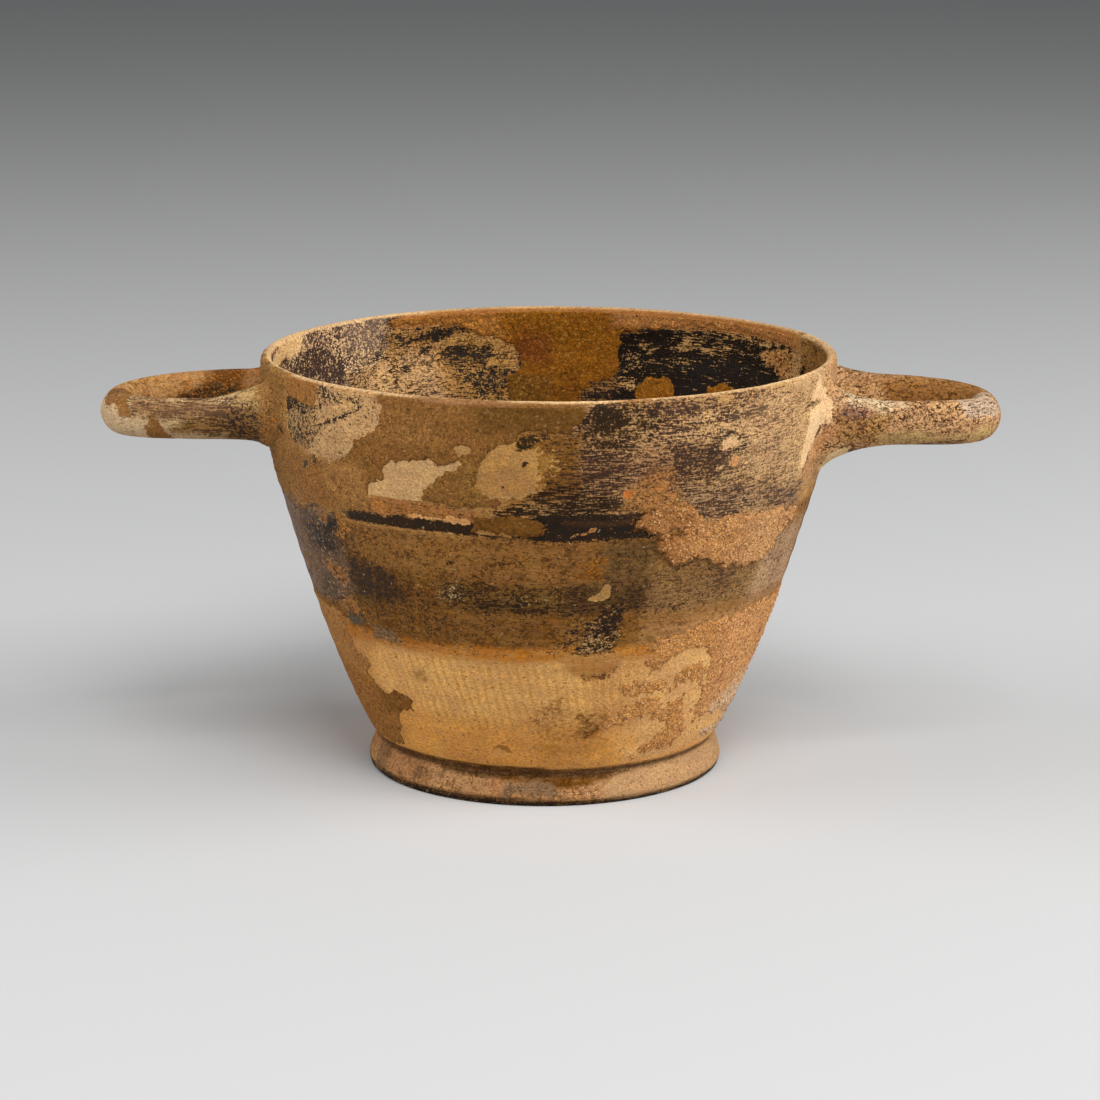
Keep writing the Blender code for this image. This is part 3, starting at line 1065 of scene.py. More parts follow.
OUTSIDE_LAYERS: tuple[Layer, ...] = (
    # The ground: yellowish tan below the dark band, duller above it.
    Band(60.0, 90.0, Tone(ground="#a87a45", cracked=0.4)),
    Band(7.5, 36.0, Tone(ground="#d39e5d", film=0.03, cracked=0.06)),
    Band(6.0, 19.0, Tone(ground="#c88c48"), soft=8.0),
    Band(16.0, 34.0, Tone(ground="#c48f54"), soft=6.0, start=12.0, end=34.0, fade=10.0),
    Band(17.0, 34.0, Tone(strokes=0.62, mud=0.03), soft=6.0, start=-46.0, end=24.0, fade=10.0),
    Band(17.0, 34.0, Tone(strokes=0.5), soft=6.0, start=100.0, end=250.0, fade=12.0),
    Band(7.4, 34.0, Tone(mud=0.1, mud_tint="#a77238"), soft=3.0),
    # The brown wash, and the dark band below it with its orange lower edge.
    Band(49.6, 60.3,
         Tone(ground="#ac783d", film=0.66, film_tint="#7a5128", slip=0.2, flecked=0.5, cracked=0.7, mud=0.1,
              mud_tint="#ab8150"), soft=1.5),
    Band(33.4, 37.6,
         Tone(film=0.78, film_tint="#ad6921", cracked=0.3, slip=0.12, flecked=0.8, slip_tint="#5a3c16"), soft=2.4),
    Band(36.4, 45.5, Tone(film=0.84, film_tint="#7b5020", slip=0.24, flecked=0.6, cracked=0.6), soft=1.6),
    Band(44.2, 50.4,
         Tone(film=0.9, film_tint="#6e4e22", slip=0.42, flecked=0.5, cracked=0.7, mud=0.18, mud_tint="#a27c4e"),
         soft=2.0),
    Patch(((-54, 36), (-24, 36.5), (-21, 42), (-24, 51), (-36, 52), (-54, 55)),
          Tone(film=0.88, film_tint="#72491b", slip=0.3, flecked=0.9, mud=0.24, mud_tint="#966838"), soft=6.0),
    Patch(((-52, 43), (-52, 51.5), (-44, 53), (-36, 50.6), (-34, 46), (-40, 43.6)),
          Tone(slip=0.58, slip_tint="#2f2010", flecked=0.9, film_tint="#4c3318"), soft=4.0, ragged=1.2),
    Patch(((-53, 53.5), (-52, 59), (-46, 60), (-42, 57), (-44, 52.6)),
          Tone(film_tint="#5a3d20", slip=0.3, flecked=1.0), soft=4.0),
    Patch(((-16, 44.6), (-14, 46.4), (6, 46), (8, 44.4), (0, 44)), Tone(slip=0.6, flecked=0.1), soft=2.0, ragged=1.0),
    Patch(((4, 44), (5, 50), (24, 51), (24, 44), (14, 43)),
          Tone(slip=0.46, film_tint="#4c351c"), soft=3.0, ragged=1.0),
    Patch(((10, 49), (11, 60), (24, 60), (23, 50)),
          Tone(film=0.86, film_tint="#5c4426", slip=0.24, flecked=0.8), soft=5.0),
    Patch(((22, 42), (78, 41), (78, 56), (22, 54)),
          Tone(film=0.7, film_tint="#785a3a", slip=0.34, flecked=0.3, cracked=0.4, mud=0.1, mud_tint="#b48e62"),
          soft=4.0),
    Patch(((22, 45.6), (40, 46), (52, 47), (52, 49.6), (36, 50.6), (22, 50.6)),
          Tone(slip=0.38, slip_tint="#4a321d"), soft=3.0),
    # Painted sheen: the band is lighter and greyer towards the right handle, where light grazes the flank.
    Patch(((52, 41), (54, 50), (58, 56), (76, 57), (78, 41)),
          Tone(film=0.4, film_tint="#8a6c50", ground="#b8926c", slip=0.24), soft=5.0),
    Patch(((22, 36), (40, 38), (78, 39), (78, 42.5), (22, 43)),
          Tone(film=0.6, film_tint="#84592e", slip=0.1), soft=3.0),
    Patch(((-28, 54), (-26, 60), (-15, 60), (-14, 56), (-20, 53)),
          Tone(mud=0.44, mud_tint="#9e692f", film=0.5), soft=3.4),
    Patch(((-11, 55), (-10, 59.6), (-3, 59.6), (-3, 55.6)), Tone(mud=0.4, mud_tint="#9a652c"), soft=3.0),
    Patch(((4, 51), (6, 55.6), (13, 56.4), (15.4, 52), (11, 50.4)),
          Tone(mud=0.5, mud_tint="#90591f", slip=0.08), soft=3.0, ragged=1.2),
    Patch(((-47, 51), (-45, 60), (-29, 60), (-29, 52)), Tone(mud=0.4, mud_tint="#97683a"), soft=4.0),
    Patch(((-25, 46), (-24, 49.6), (-19, 50), (-18, 46)), Tone(mud=0.42, mud_tint="#b59a72"), soft=2.0, ragged=1.0),
    Patch(((-11, 45.4), (-10, 48), (2, 48), (2, 45.6)), Tone(mud=0.34, mud_tint="#a98c60"), soft=2.0),
    # The worn slip above: streaky black in the middle, purple-brown and thinner to the right.
    Patch(((-3, 64), (66, 60), (66, 70), (52, 89), (6, 89), (0, 83), (-4, 78), (-5, 70)),
          Tone(slip=0.54, slip_tint=PURPLE_SLIP, ground="#bd9260", flecked=0.1, cracked=0.5, film=0.36,
               film_tint="#74503a"), soft=6.0, ragged=2.0),
    Patch(((18, 79), (20, 84), (46, 86), (58, 87), (60, 76), (40, 77)),
          Tone(slip=0.44, ground="#cda270", flecked=0.2, film=0.28), soft=5.0, ragged=1.5),
    Patch(((-12, 64), (-9, 68), (0, 68.8), (12, 69.4), (20, 67), (20, 64), (-2, 63)),
          Tone(slip=0.72, slip_tint=BLACK_SLIP), soft=2.5, ragged=1.4),
    Patch(((4, 80), (7, 88), (20, 88), (22, 82), (14, 78)),
          Tone(slip=0.6, slip_tint=BLACK_SLIP, flecked=0.45), soft=4.0, ragged=1.4),
    Patch(((7.6, 82.6), (8.4, 86.6), (12.6, 87.2), (15.4, 84.6), (12, 82)),
          Tone(slip=0.8, flecked=0.8), soft=1.6, ragged=1.2),
    Patch(((19, 84), (19, 86.6), (34, 86.2), (40, 85), (34, 84.2)),
          Tone(slip=0.62, flecked=0.6), soft=1.8, ragged=1.2),
    Patch(((36, 86.2), (36, 88), (47, 88), (46, 86.6)), Tone(slip=0.6, flecked=0.8), soft=1.2, ragged=1.0),
    Patch(((20, 73), (22, 79), (33, 79), (33, 76), (42, 73.4), (34, 70.6)),
          Tone(slip=0.66, flecked=0.4), soft=3.0, ragged=1.4),
    Patch(((24, 62), (62, 61), (60, 66), (40, 70), (28, 70), (24, 67)),
          Tone(slip=0.55, slip_tint="#46301f", ground="#b8926a", flecked=0.1), soft=4.0, ragged=1.5),
    Patch(((36, 70.6), (40, 84), (47, 88), (68, 88), (68, 64), (56, 67)),
          Tone(slip=0.34, ground="#cda472", slip_tint="#5f4630", flecked=0.15, film=0.3), soft=6.0, ragged=2.0),
    Patch(((23, 81.9), (34, 83.2), (46, 84.2), (46, 83.4), (34, 82.4), (23, 81.1)), Tone(slip=0.8), soft=0.7),
    Patch(((-8, 68), (-8, 80), (-3, 83), (6, 82), (6, 70), (0, 68)),
          Tone(slip=0.42, ground="#95662c", film=0.5, film_tint="#6a4317"), soft=4.0),
    Patch(((-8, 66), (-6, 70), (0, 71.6), (8, 72.4), (8, 66)),
          Tone(slip=0.6, slip_tint=BLACK_SLIP, flecked=0.1), soft=2.6, ragged=1.6),
    Patch(((15, 70), (16, 78), (22, 80), (24, 76), (22, 71)),
          Tone(ground="#b98d60", slip=0.42, flecked=0.2), soft=2.4, ragged=1.2),
    # The black lines at the handle zone's lower edge, the left one worn and the right one broad.
    Band(60.9, 63.2,
         Tone(slip=0.92, slip_tint=BLACK_SLIP, film=0.3, flecked=0.7), soft=0.8, start=-46.4, end=-14.0, fade=3.0),
    Band(60.2, 60.9, Tone(slip=0.62, slip_tint=BLACK_SLIP), soft=0.5, start=-18.0, end=-1.0),
    Band(59.8, 65.2,
         Tone(slip=0.9, slip_tint="#22170c", film=0.3, flecked=0.5), soft=0.7, start=-3.0, end=22.5, fade=2.5),
    Band(63.1, 63.7,
         Tone(slip=0.7, film=0.9, film_tint="#6a3a1a", slip_tint="#4a2d18"), soft=0.5, start=3.0, end=16.0),
    Patch(((4.4, 60.6), (5, 61.4), (8, 61.8), (9.2, 62.6), (9.4, 61.8), (7, 60.8)),
          Tone(flake=0.8, flake_tint="#96602c"), soft=0.8),
    Patch(((15.6, 60.6), (17, 63.8), (21, 64), (21, 60.4)), Tone(mud=0.5, mud_tint="#7c4a20"), soft=1.6, ragged=0.8),
    Band(60.2, 63.4, Tone(slip=0.8, slip_tint=BLACK_SLIP), soft=0.8, start=84.0, end=205.0, fade=9.0),
    Band(60.2, 64.6, Tone(slip=0.86, slip_tint=BLACK_SLIP), soft=0.8, start=196.0, end=262.0, fade=9.0),
    Patch(((-38, 63.2), (-37, 67), (-25, 67), (-14, 65.5), (-14, 63.4)),
          Tone(ground="#a86f40", slip=0.24, flecked=0.4, film=0.5, film_tint="#976430", mud=0.2, mud_tint="#b9824c"),
          soft=1.0),
    Patch(((-38.5, 63.4), (-38, 66.5), (-34, 66.6), (-33, 63.4)),
          Tone(flake=0.56, flake_tint="#b26e36", slip=0.1), soft=2.0, ragged=1.1),
    Patch(((-32, 63.3), (-28, 64.3), (-16, 64.2), (-15, 63.2)),
          Tone(flake=0.9, flake_tint="#cd9056"), soft=1.2, ragged=0.7),
    # The left flank: purple-grey slip, its grey partly painted sheen of light grazing the flank, with muddy
    # orange-brown streaks across it.
    # Painted sheen: the slip tint here is lightened to grey-brown.
    Patch(((-84, 40.6), (-62, 39.4), (-56, 40.4), (-49, 44), (-50, 60), (-58, 63.5), (-82, 63.5), (-88, 61),
           (-99, 60.4), (-105, 57), (-97, 54), (-101, 49), (-92, 46), (-94, 43)),
          Tone(slip=0.6, slip_tint="#674a34", film=0.86, film_tint="#94704f", ground="#b8926a", flecked=0.4, mud=0.38,
               mud_tint="#ad8660", cracked=0.9), soft=2.5, ragged=1.2),
    Patch(((-66, 51), (-56, 52), (-50, 55), (-52, 58.6), (-60, 60), (-66, 58)),
          Tone(slip=0.72, slip_tint="#35241a"), soft=5.0),
    Patch(((-60, 52.6), (-59, 57.4), (-55, 58), (-51.6, 55), (-52, 52)),
          Tone(slip=0.86, slip_tint="#22160e"), soft=2.6, ragged=1.6),
    Patch(((-66, 40), (-64, 46), (-58, 47), (-56, 44), (-57, 40.4)), Tone(slip_tint="#453626"), soft=3.0),
    Patch(((-59, 47.6), (-57, 50), (-51, 49.6), (-50, 46.8), (-53, 45), (-56, 46.6)),
          Tone(mud=0.72, mud_tint="#94653a", slip=0.4), soft=1.6, ragged=1.0),
    Patch(((-56, 41), (-54, 43.8), (-51, 43.2), (-48.6, 40.8), (-50, 39.6), (-56, 39.6)),
          Tone(mud=0.75, mud_tint="#94653a", slip=0.3), soft=1.6, ragged=1.0),
    Patch(((-57, 60.4), (-54, 61.4), (-47, 62.6), (-45, 58), (-49, 55.6), (-51, 55), (-52, 58), (-56, 59)),
          Tone(mud=0.66, mud_tint="#a06a35", slip=0.4), soft=2.0, ragged=1.2),
    Patch(((-58, 61), (-57, 63.6), (-50.6, 63.4), (-51, 61.6)),
          Tone(slip=0.86, slip_tint="#241609", mud=0.3, mud_tint="#c8a274"), soft=1.2),
    Patch(((-53, 57), (-52, 61), (-49.6, 60.6), (-49.4, 57.4)),
          Tone(slip=0.88, slip_tint="#22150c", mud=0.06), soft=1.0, ragged=1.0),
    Patch(((-57, 36.4), (-56, 38.6), (-50, 38.6), (-48, 37.2), (-53, 36)),
          Tone(slip=0.7, slip_tint="#4e4434", film=0.4), soft=1.4, ragged=0.8),
    Patch(((-47, 34.6), (-45, 37.6), (-39, 37.4), (-38, 35)),
          Tone(film=0.8, film_tint="#6f5842", slip=0.3, flecked=0.8, slip_tint="#4a3a2a"), soft=1.6, ragged=0.8),
    # Pale places where a crust has flaked off with the slip.
    Patch(((-61, 84), (-50, 84.5), (-50, 88), (-33, 87.4), (-32, 81), (-37, 78), (-41, 74), (-47, 71.5), (-55, 73),
           (-61, 77)),
          Tone(ground="#bd9464", film=0.06, slip=0.16, slip_tint="#2a1b10", flecked=0.9), soft=1.4),
    Patch(((-61, 73.6), (-61, 85), (-51, 84.5), (-49, 80), (-53, 73)),
          Tone(slip=0.44, ground="#a98458", mud=0.16, mud_tint="#8a6236", flecked=1.0), soft=2.4, ragged=1.2),
    Patch(((-61, 81.4), (-61, 83.8), (-51, 84), (-47, 84.4), (-51, 82)),
          Tone(slip=0.74, slip_tint=BLACK_SLIP, flecked=0.6), soft=1.4, ragged=1.0),
    Patch(((-61, 75), (-61, 79), (-58, 77), (-54, 75.4), (-58, 74)),
          Tone(slip=0.66, slip_tint="#2f281c", flecked=1.0), soft=1.6, ragged=1.0),
    Patch(((-51, 84.4), (-51, 88), (-42, 87.4), (-36, 85.9), (-44, 84.8)),
          Tone(slip=0.52, flecked=0.6), soft=1.6, ragged=1.0),
    Patch(((-49.6, 79.3), (-44, 81.4), (-37.6, 84.5), (-37.6, 85.1), (-44, 82.1), (-49.6, 79.9)),
          Tone(slip=0.72), soft=0.5, ragged=0.3),
    Patch(((-39, 67), (-38.5, 72), (-34, 76), (-27, 77.4), (-17, 77.4), (-15, 75), (-19, 73.4), (-23, 69),
           (-25, 66.9)),
          Tone(flake=1.0, flake_tint="#bf9765", slip=0.0, film=0.05, mud=0.0), soft=0.8),
    Patch(((-19, 76.6), (-19, 80.4), (-14, 80.4), (-14, 76.6)),
          Tone(flake=0.9, flake_tint="#a8804c", slip=0.1), soft=1.0),
    Patch(((-15, 71), (-14.6, 78), (-11, 81), (-6, 80.8), (-1.4, 79.6), (0.4, 77), (-1, 74), (-1, 71.4), (-5, 68.4),
           (-12, 68)),
          Tone(flake=0.9, flake_tint="#a57945", slip=0.0, film=0.1, mud=0.0), soft=1.8, ragged=0.9),
    Patch(((-3, 80), (2, 79.4), (3.6, 76.4), (2.4, 72.6), (-2, 71)),
          Tone(flake=0.42, flake_tint="#ad8049"), soft=3.0, ragged=1.2),
    Patch(((-6, 78.4), (-6.6, 80.2), (-4.6, 81.4), (-2.4, 80.6), (-3, 79)),
          Tone(slip=0.72, slip_tint="#241c08", flake=0.0, flecked=0.9), soft=1.6, ragged=1.0),
    Patch(((-5, 80.6), (-4, 82.4), (2, 82.6), (4, 80.8), (0, 79.6)),
          Tone(mud=0.4, mud_tint="#9a6c34"), soft=1.4, ragged=0.8),
    Flecks(((-4.4, 75.9, 0.5, 0.35), (-20.5, 54.4, 0.5, 0.4), (-9, 71, 0.3, 0.3), (-30, 72.6, 0.3, 0.3)),
           Tone(slip=1.0, flake=0.0)),
    Patch(((31, 76), (33, 80.2), (37, 80.4), (41, 78.6), (40, 75.8)),
          Tone(slip=0.7, slip_tint="#33231a"), soft=1.2, ragged=0.8),
    Patch(((33.4, 77.6), (34.2, 79), (37, 79), (39.6, 78), (38.4, 77), (34.8, 76.9)),
          Tone(flake=0.86, flake_tint="#b9916a", slip=0.2), soft=1.4, ragged=0.8),
    Patch(((36, 73), (37.5, 75.4), (39.6, 75), (38.6, 72.4)), Tone(flake=0.84, flake_tint="#b07c4c"), soft=1.4),
    Patch(((60, 72), (60.5, 79), (62, 84), (66, 88), (71, 80), (66, 74), (64, 69.5), (61, 68)),
          Tone(flake=0.84, flake_tint="#d0aa7e", slip=0.14, film=0.0, flecked=0.6), soft=2.4, ragged=0.8),
    Patch(((61, 76), (61.6, 79.6), (65, 80), (67, 77), (63, 75)),
          Tone(flake=1.0, flake_tint="#cfae84"), soft=1.0, ragged=0.6),
    Patch(((56, 88.5), (72, 88.5), (72, 85.5), (62, 84), (52, 86.5)), Tone(ground="#c6a072", slip=0.2), soft=2.0),
    Patch(((59, 81.6), (60, 82.6), (66, 82.4), (67, 81.6), (63, 81)),
          Tone(slip=0.7, slip_tint="#4a3624", flake=0.0), soft=0.9),
    # A thin orange skin of the sandy crust, spreading over the slip.
    Patch(((13, 66), (15, 69), (17, 72), (20, 74.5), (23.5, 73.5), (27, 68), (26, 65.5), (19, 65)),
          Tone(mud=0.62, mud_tint="#a3713f", slip=0.34, slip_tint="#5a3820", film=0.4, film_tint="#8a5a2c",
               flecked=0.8), soft=3.0, ragged=1.2),
    Flecks(((15.6, 69.6, 1.3, 0.8), (21.4, 70.2, 2.0, 0.7), (24, 68.6, 1.6, 0.9)),
           Tone(flake=0.8, flake_tint="#b8652c")),
    # Marks on and under the dark band.
    Patch(((2, 35), (3, 40), (8, 43), (11, 42), (11, 35)),
          Tone(slip=0.4, slip_tint="#2a1c10", film=0.6, flecked=1.0, mud=0.2, mud_tint="#a8855c"), soft=3.0,
          ragged=1.5),
    Patch(((8, 35), (8.6, 41), (11, 44), (16.4, 44.6), (17.4, 40), (16.4, 36), (12, 34.8)),
          Tone(slip=0.5, slip_tint="#22160c", film=0.8, film_tint="#5a3d1c", flecked=1.0, mud=0.46,
               mud_tint="#b0895a"), soft=2.2, ragged=1.2),
    Patch(((12, 40), (12.6, 44.4), (16.4, 44.4), (16.8, 39), (14, 38.4)),
          Tone(slip=0.62, mud=0.3), soft=2.0, ragged=1.0),
    Patch(((8.6, 46.8), (9.6, 47.8), (11.6, 48.4), (12.4, 50.2), (13.8, 50), (13.6, 47.6), (11, 46.6)),
          Tone(flake=0.9, flake_tint="#9a713f", slip=0.1), soft=0.9),
    Patch(((2.4, 34.9), (18.4, 35), (18, 32), (14.6, 29.2), (10, 28.7), (6, 30.6)),
          Tone(film=0.56, film_tint="#8f5c2a"), soft=0.9),
    Patch(((8, 28.6), (9, 30.4), (16, 30.2), (17.6, 31.6), (17, 29.6), (13, 28.2)),
          Tone(slip=0.5, slip_tint="#6a431c", flecked=1.0), soft=1.0),
    # Stains on the reserved zone.
    Patch(((-5, 19.4), (-2, 21), (0, 24), (4, 24.8), (5, 22), (2, 20.4), (-2, 19)),
          Tone(mud=0.56, mud_tint="#8a5a26", film=0.1, cracked=0.6), soft=2.0, ragged=1.6),
    Patch(((5.5, 17.2), (5.6, 18.8), (8.8, 18.9), (9.5, 17.4)), Tone(mud=0.8, mud_tint="#8b5a28"), soft=1.2),
    Patch(((12, 17), (13, 20.5), (18, 21), (19, 18), (16, 16.5)),
          Tone(mud=0.6, mud_tint="#a06d35"), soft=1.6, ragged=1.0),
    Patch(((-15.5, 12.4), (-14, 13.8), (-11, 13.2), (-10, 11.4), (-13, 12)),
          Tone(mud=0.78, mud_tint="#8a5a28"), soft=1.0, ragged=0.8),
    Patch(((-36.6, 26), (-36, 30.2), (-32, 30.4), (-31, 26.5)),
          Tone(mud=0.5, mud_tint="#a07236", film=0.16), soft=2.0, ragged=1.0),
    Patch(((-22, 14), (-20, 19), (-17, 20), (-16, 15)), Tone(mud=0.4), soft=2.5),
    Patch(((-6, 12), (-2, 20), (0, 24), (5, 24), (13, 20), (20, 13), (14, 10), (0, 10)),
          Tone(mud=0.42, mud_tint="#a56c34", film=0.04), soft=4.0, ragged=2.0),
    Patch(((8, 16), (9, 20), (14, 21.6), (16, 19), (13, 16)),
          Tone(mud=0.52, mud_tint="#8f5d2a", cracked=0.8), soft=2.6, ragged=1.8),
    Band(8.0, 40.0, Tone(ground="#cb9a62", mud=0.24, mud_tint="#a5713c"), soft=3.0, start=25.0, end=92.0, fade=10.0),
    Band(8.0, 36.0, Tone(ground="#b07c42", mud=0.24), soft=3.0, start=-100.0, end=-50.0, fade=14.0),
    # The back, plainer: the slip worn to streaks, and two pale flakes.
    Patch(((96, 64), (130, 63), (175, 63), (205, 64), (205, 82), (150, 89), (96, 89)),
          Tone(slip=0.5, slip_tint=PURPLE_SLIP, ground="#b08552", flecked=0.3), soft=9.0, ragged=3.0),
    Patch(((205, 64), (262, 64), (262, 84), (230, 89), (205, 89)),
          Tone(slip=0.42, slip_tint="#2e1f16", ground="#a98050", flecked=0.6), soft=9.0, ragged=3.0),
    Patch(((150, 72), (158, 80), (172, 79), (178, 72), (166, 68)),
          Tone(flake=0.9, flake_tint="#bc9462", slip=0.1), soft=1.8, ragged=1.4),
    Patch(((216, 70), (221, 77), (232, 76), (235, 70), (225, 67)),
          Tone(flake=0.85, flake_tint="#b0824c", slip=0.1), soft=1.8, ragged=1.2),
    Patch(((120, 18), (126, 27), (140, 29), (150, 22), (138, 16)), Tone(mud=0.5, film=0.25), soft=4.0, ragged=2.0),
    # The foot: pinkish tan, with painted shade in its groove and painted shadow along its resting edge.
    Band(-1.0, 7.3,
         Tone(ground="#ab7a4e", film=0.15, slip=0.12, slip_tint="#5a3c22", flecked=1.0, cracked=0.6, mud=0.2,
              mud_tint="#7a5128", strokes=0.0), soft=0.6),
    Band(-1.0, 7.3, Tone(ground="#b18a60", cracked=0.3, slip=0.06), soft=0.6, start=16.0, end=100.0, fade=14.0),
    # A dark wedge under the groove at the front: partly painted shade under the wall's overhang, partly dark deposit.
    Patch(((-38, 7.5), (-36, 6.0), (-20, 5.4), (-8, 4.7), (5, 3.7), (14, 4.2), (21, 5.2), (30, 6.0), (36, 7.5)),
          Tone(film=1.0, film_tint="#643c08", slip=0.1, slip_tint="#2c1a06", mud=0.1, mud_tint="#6b4412"), soft=1.0,
          ragged=0.3),
    # Painted shade in the groove between the wall and the foot, darkest at the front and to the left.
    Band(5.6, 7.4,
         Tone(film=1.0, film_tint="#38210a", slip=0.2, slip_tint="#2c1a06"), soft=0.8, start=-34.0, end=26.0,
         fade=10.0),
    Band(6.3, 8.2,
         Tone(film=0.9, film_tint="#3c240c", slip=0.3, slip_tint="#2a1804"), soft=0.7, start=-90.0, end=0.0,
         fade=16.0),
    Band(6.2, 7.6, Tone(film=0.8, film_tint="#4a3018"), soft=0.7),
    # Painted shadow along the resting edge, wider to the left.
    Band(-1.0, 1.1, Tone(film=1.0, film_tint="#1c120a", mud=0.0, slip=0.0), soft=0.6),
    Band(-1.0, 1.7, Tone(film=1.0, film_tint="#1c120a", mud=0.0), soft=0.6, start=-84.0, end=-4.0, fade=30.0),
    Patch(((-14, 2.0), (-12, 5), (2, 4.8), (4, 2.4)),
          Tone(ground="#8d6c4c", film=0.4, film_tint="#5a4433"), soft=1.6, ragged=0.6),
    Patch(((-72, 1.5), (-72, 6), (-62, 6), (-62, 1.5)), Tone(film=0.55, film_tint="#4b3d2e"), soft=1.8, ragged=0.8),
    Patch(((-48, 2.4), (-48, 5.4), (-42, 5.4), (-42, 2.4)),
          Tone(film=0.5, film_tint="#56432f"), soft=1.6, ragged=0.8),
    Patch(((-42, 1.4), (-40, 6.2), (-18, 6.4), (-18, 2.4)),
          Tone(ground="#b08458", mud=0.3, mud_tint="#8e6238"), soft=1.6, ragged=0.8),
    Flecks(((1, 2.3, 2.6, 0.45), (8, 2.7, 2.2, 0.4), (14.6, 2.5, 1.6, 0.4)), Tone(flake=0.62, flake_tint="#c9a072")),
    # The lip: silt reaches up to it, and its slip is rubbed off to a thin pale line with mud here and there; that
    # line is also painted highlight along the lip's top.
    Band(86.4, 90.0, Tone(ground="#82592e", slip=0.0, flake=0.0, mud=0.1), soft=0.5, start=-34.0, end=7.0, fade=2.0),
    Band(86.4, 90.0,
         Tone(ground="#946030", slip=0.0, flake=0.0, mud=0.1), soft=0.5, start=-62.0, end=-50.0, fade=2.0),
    Band(87.86, 90.0, Tone(ground=LIP_CREAM_AND_HIGHLIGHT, film=0.05, slip=0.06, flake=0.0, mud=0.16, flecked=1.0), soft=0.3),
    Band(87.0, 90.0, Tone(ground="#946842", film=0.2), soft=0.5, start=-25.0, end=-7.0, fade=5.0),
    Band(87.0, 90.0, Tone(ground="#a8794a", film=0.2), soft=0.5, start=13.0, end=19.0, fade=3.0),
    Band(86.8, 87.9,
         Tone(ground="#9a6c3a", film=0.2, mud=0.3, mud_tint="#8f5f2b"), soft=0.5, start=112.0, end=215.0, fade=10.0),
)

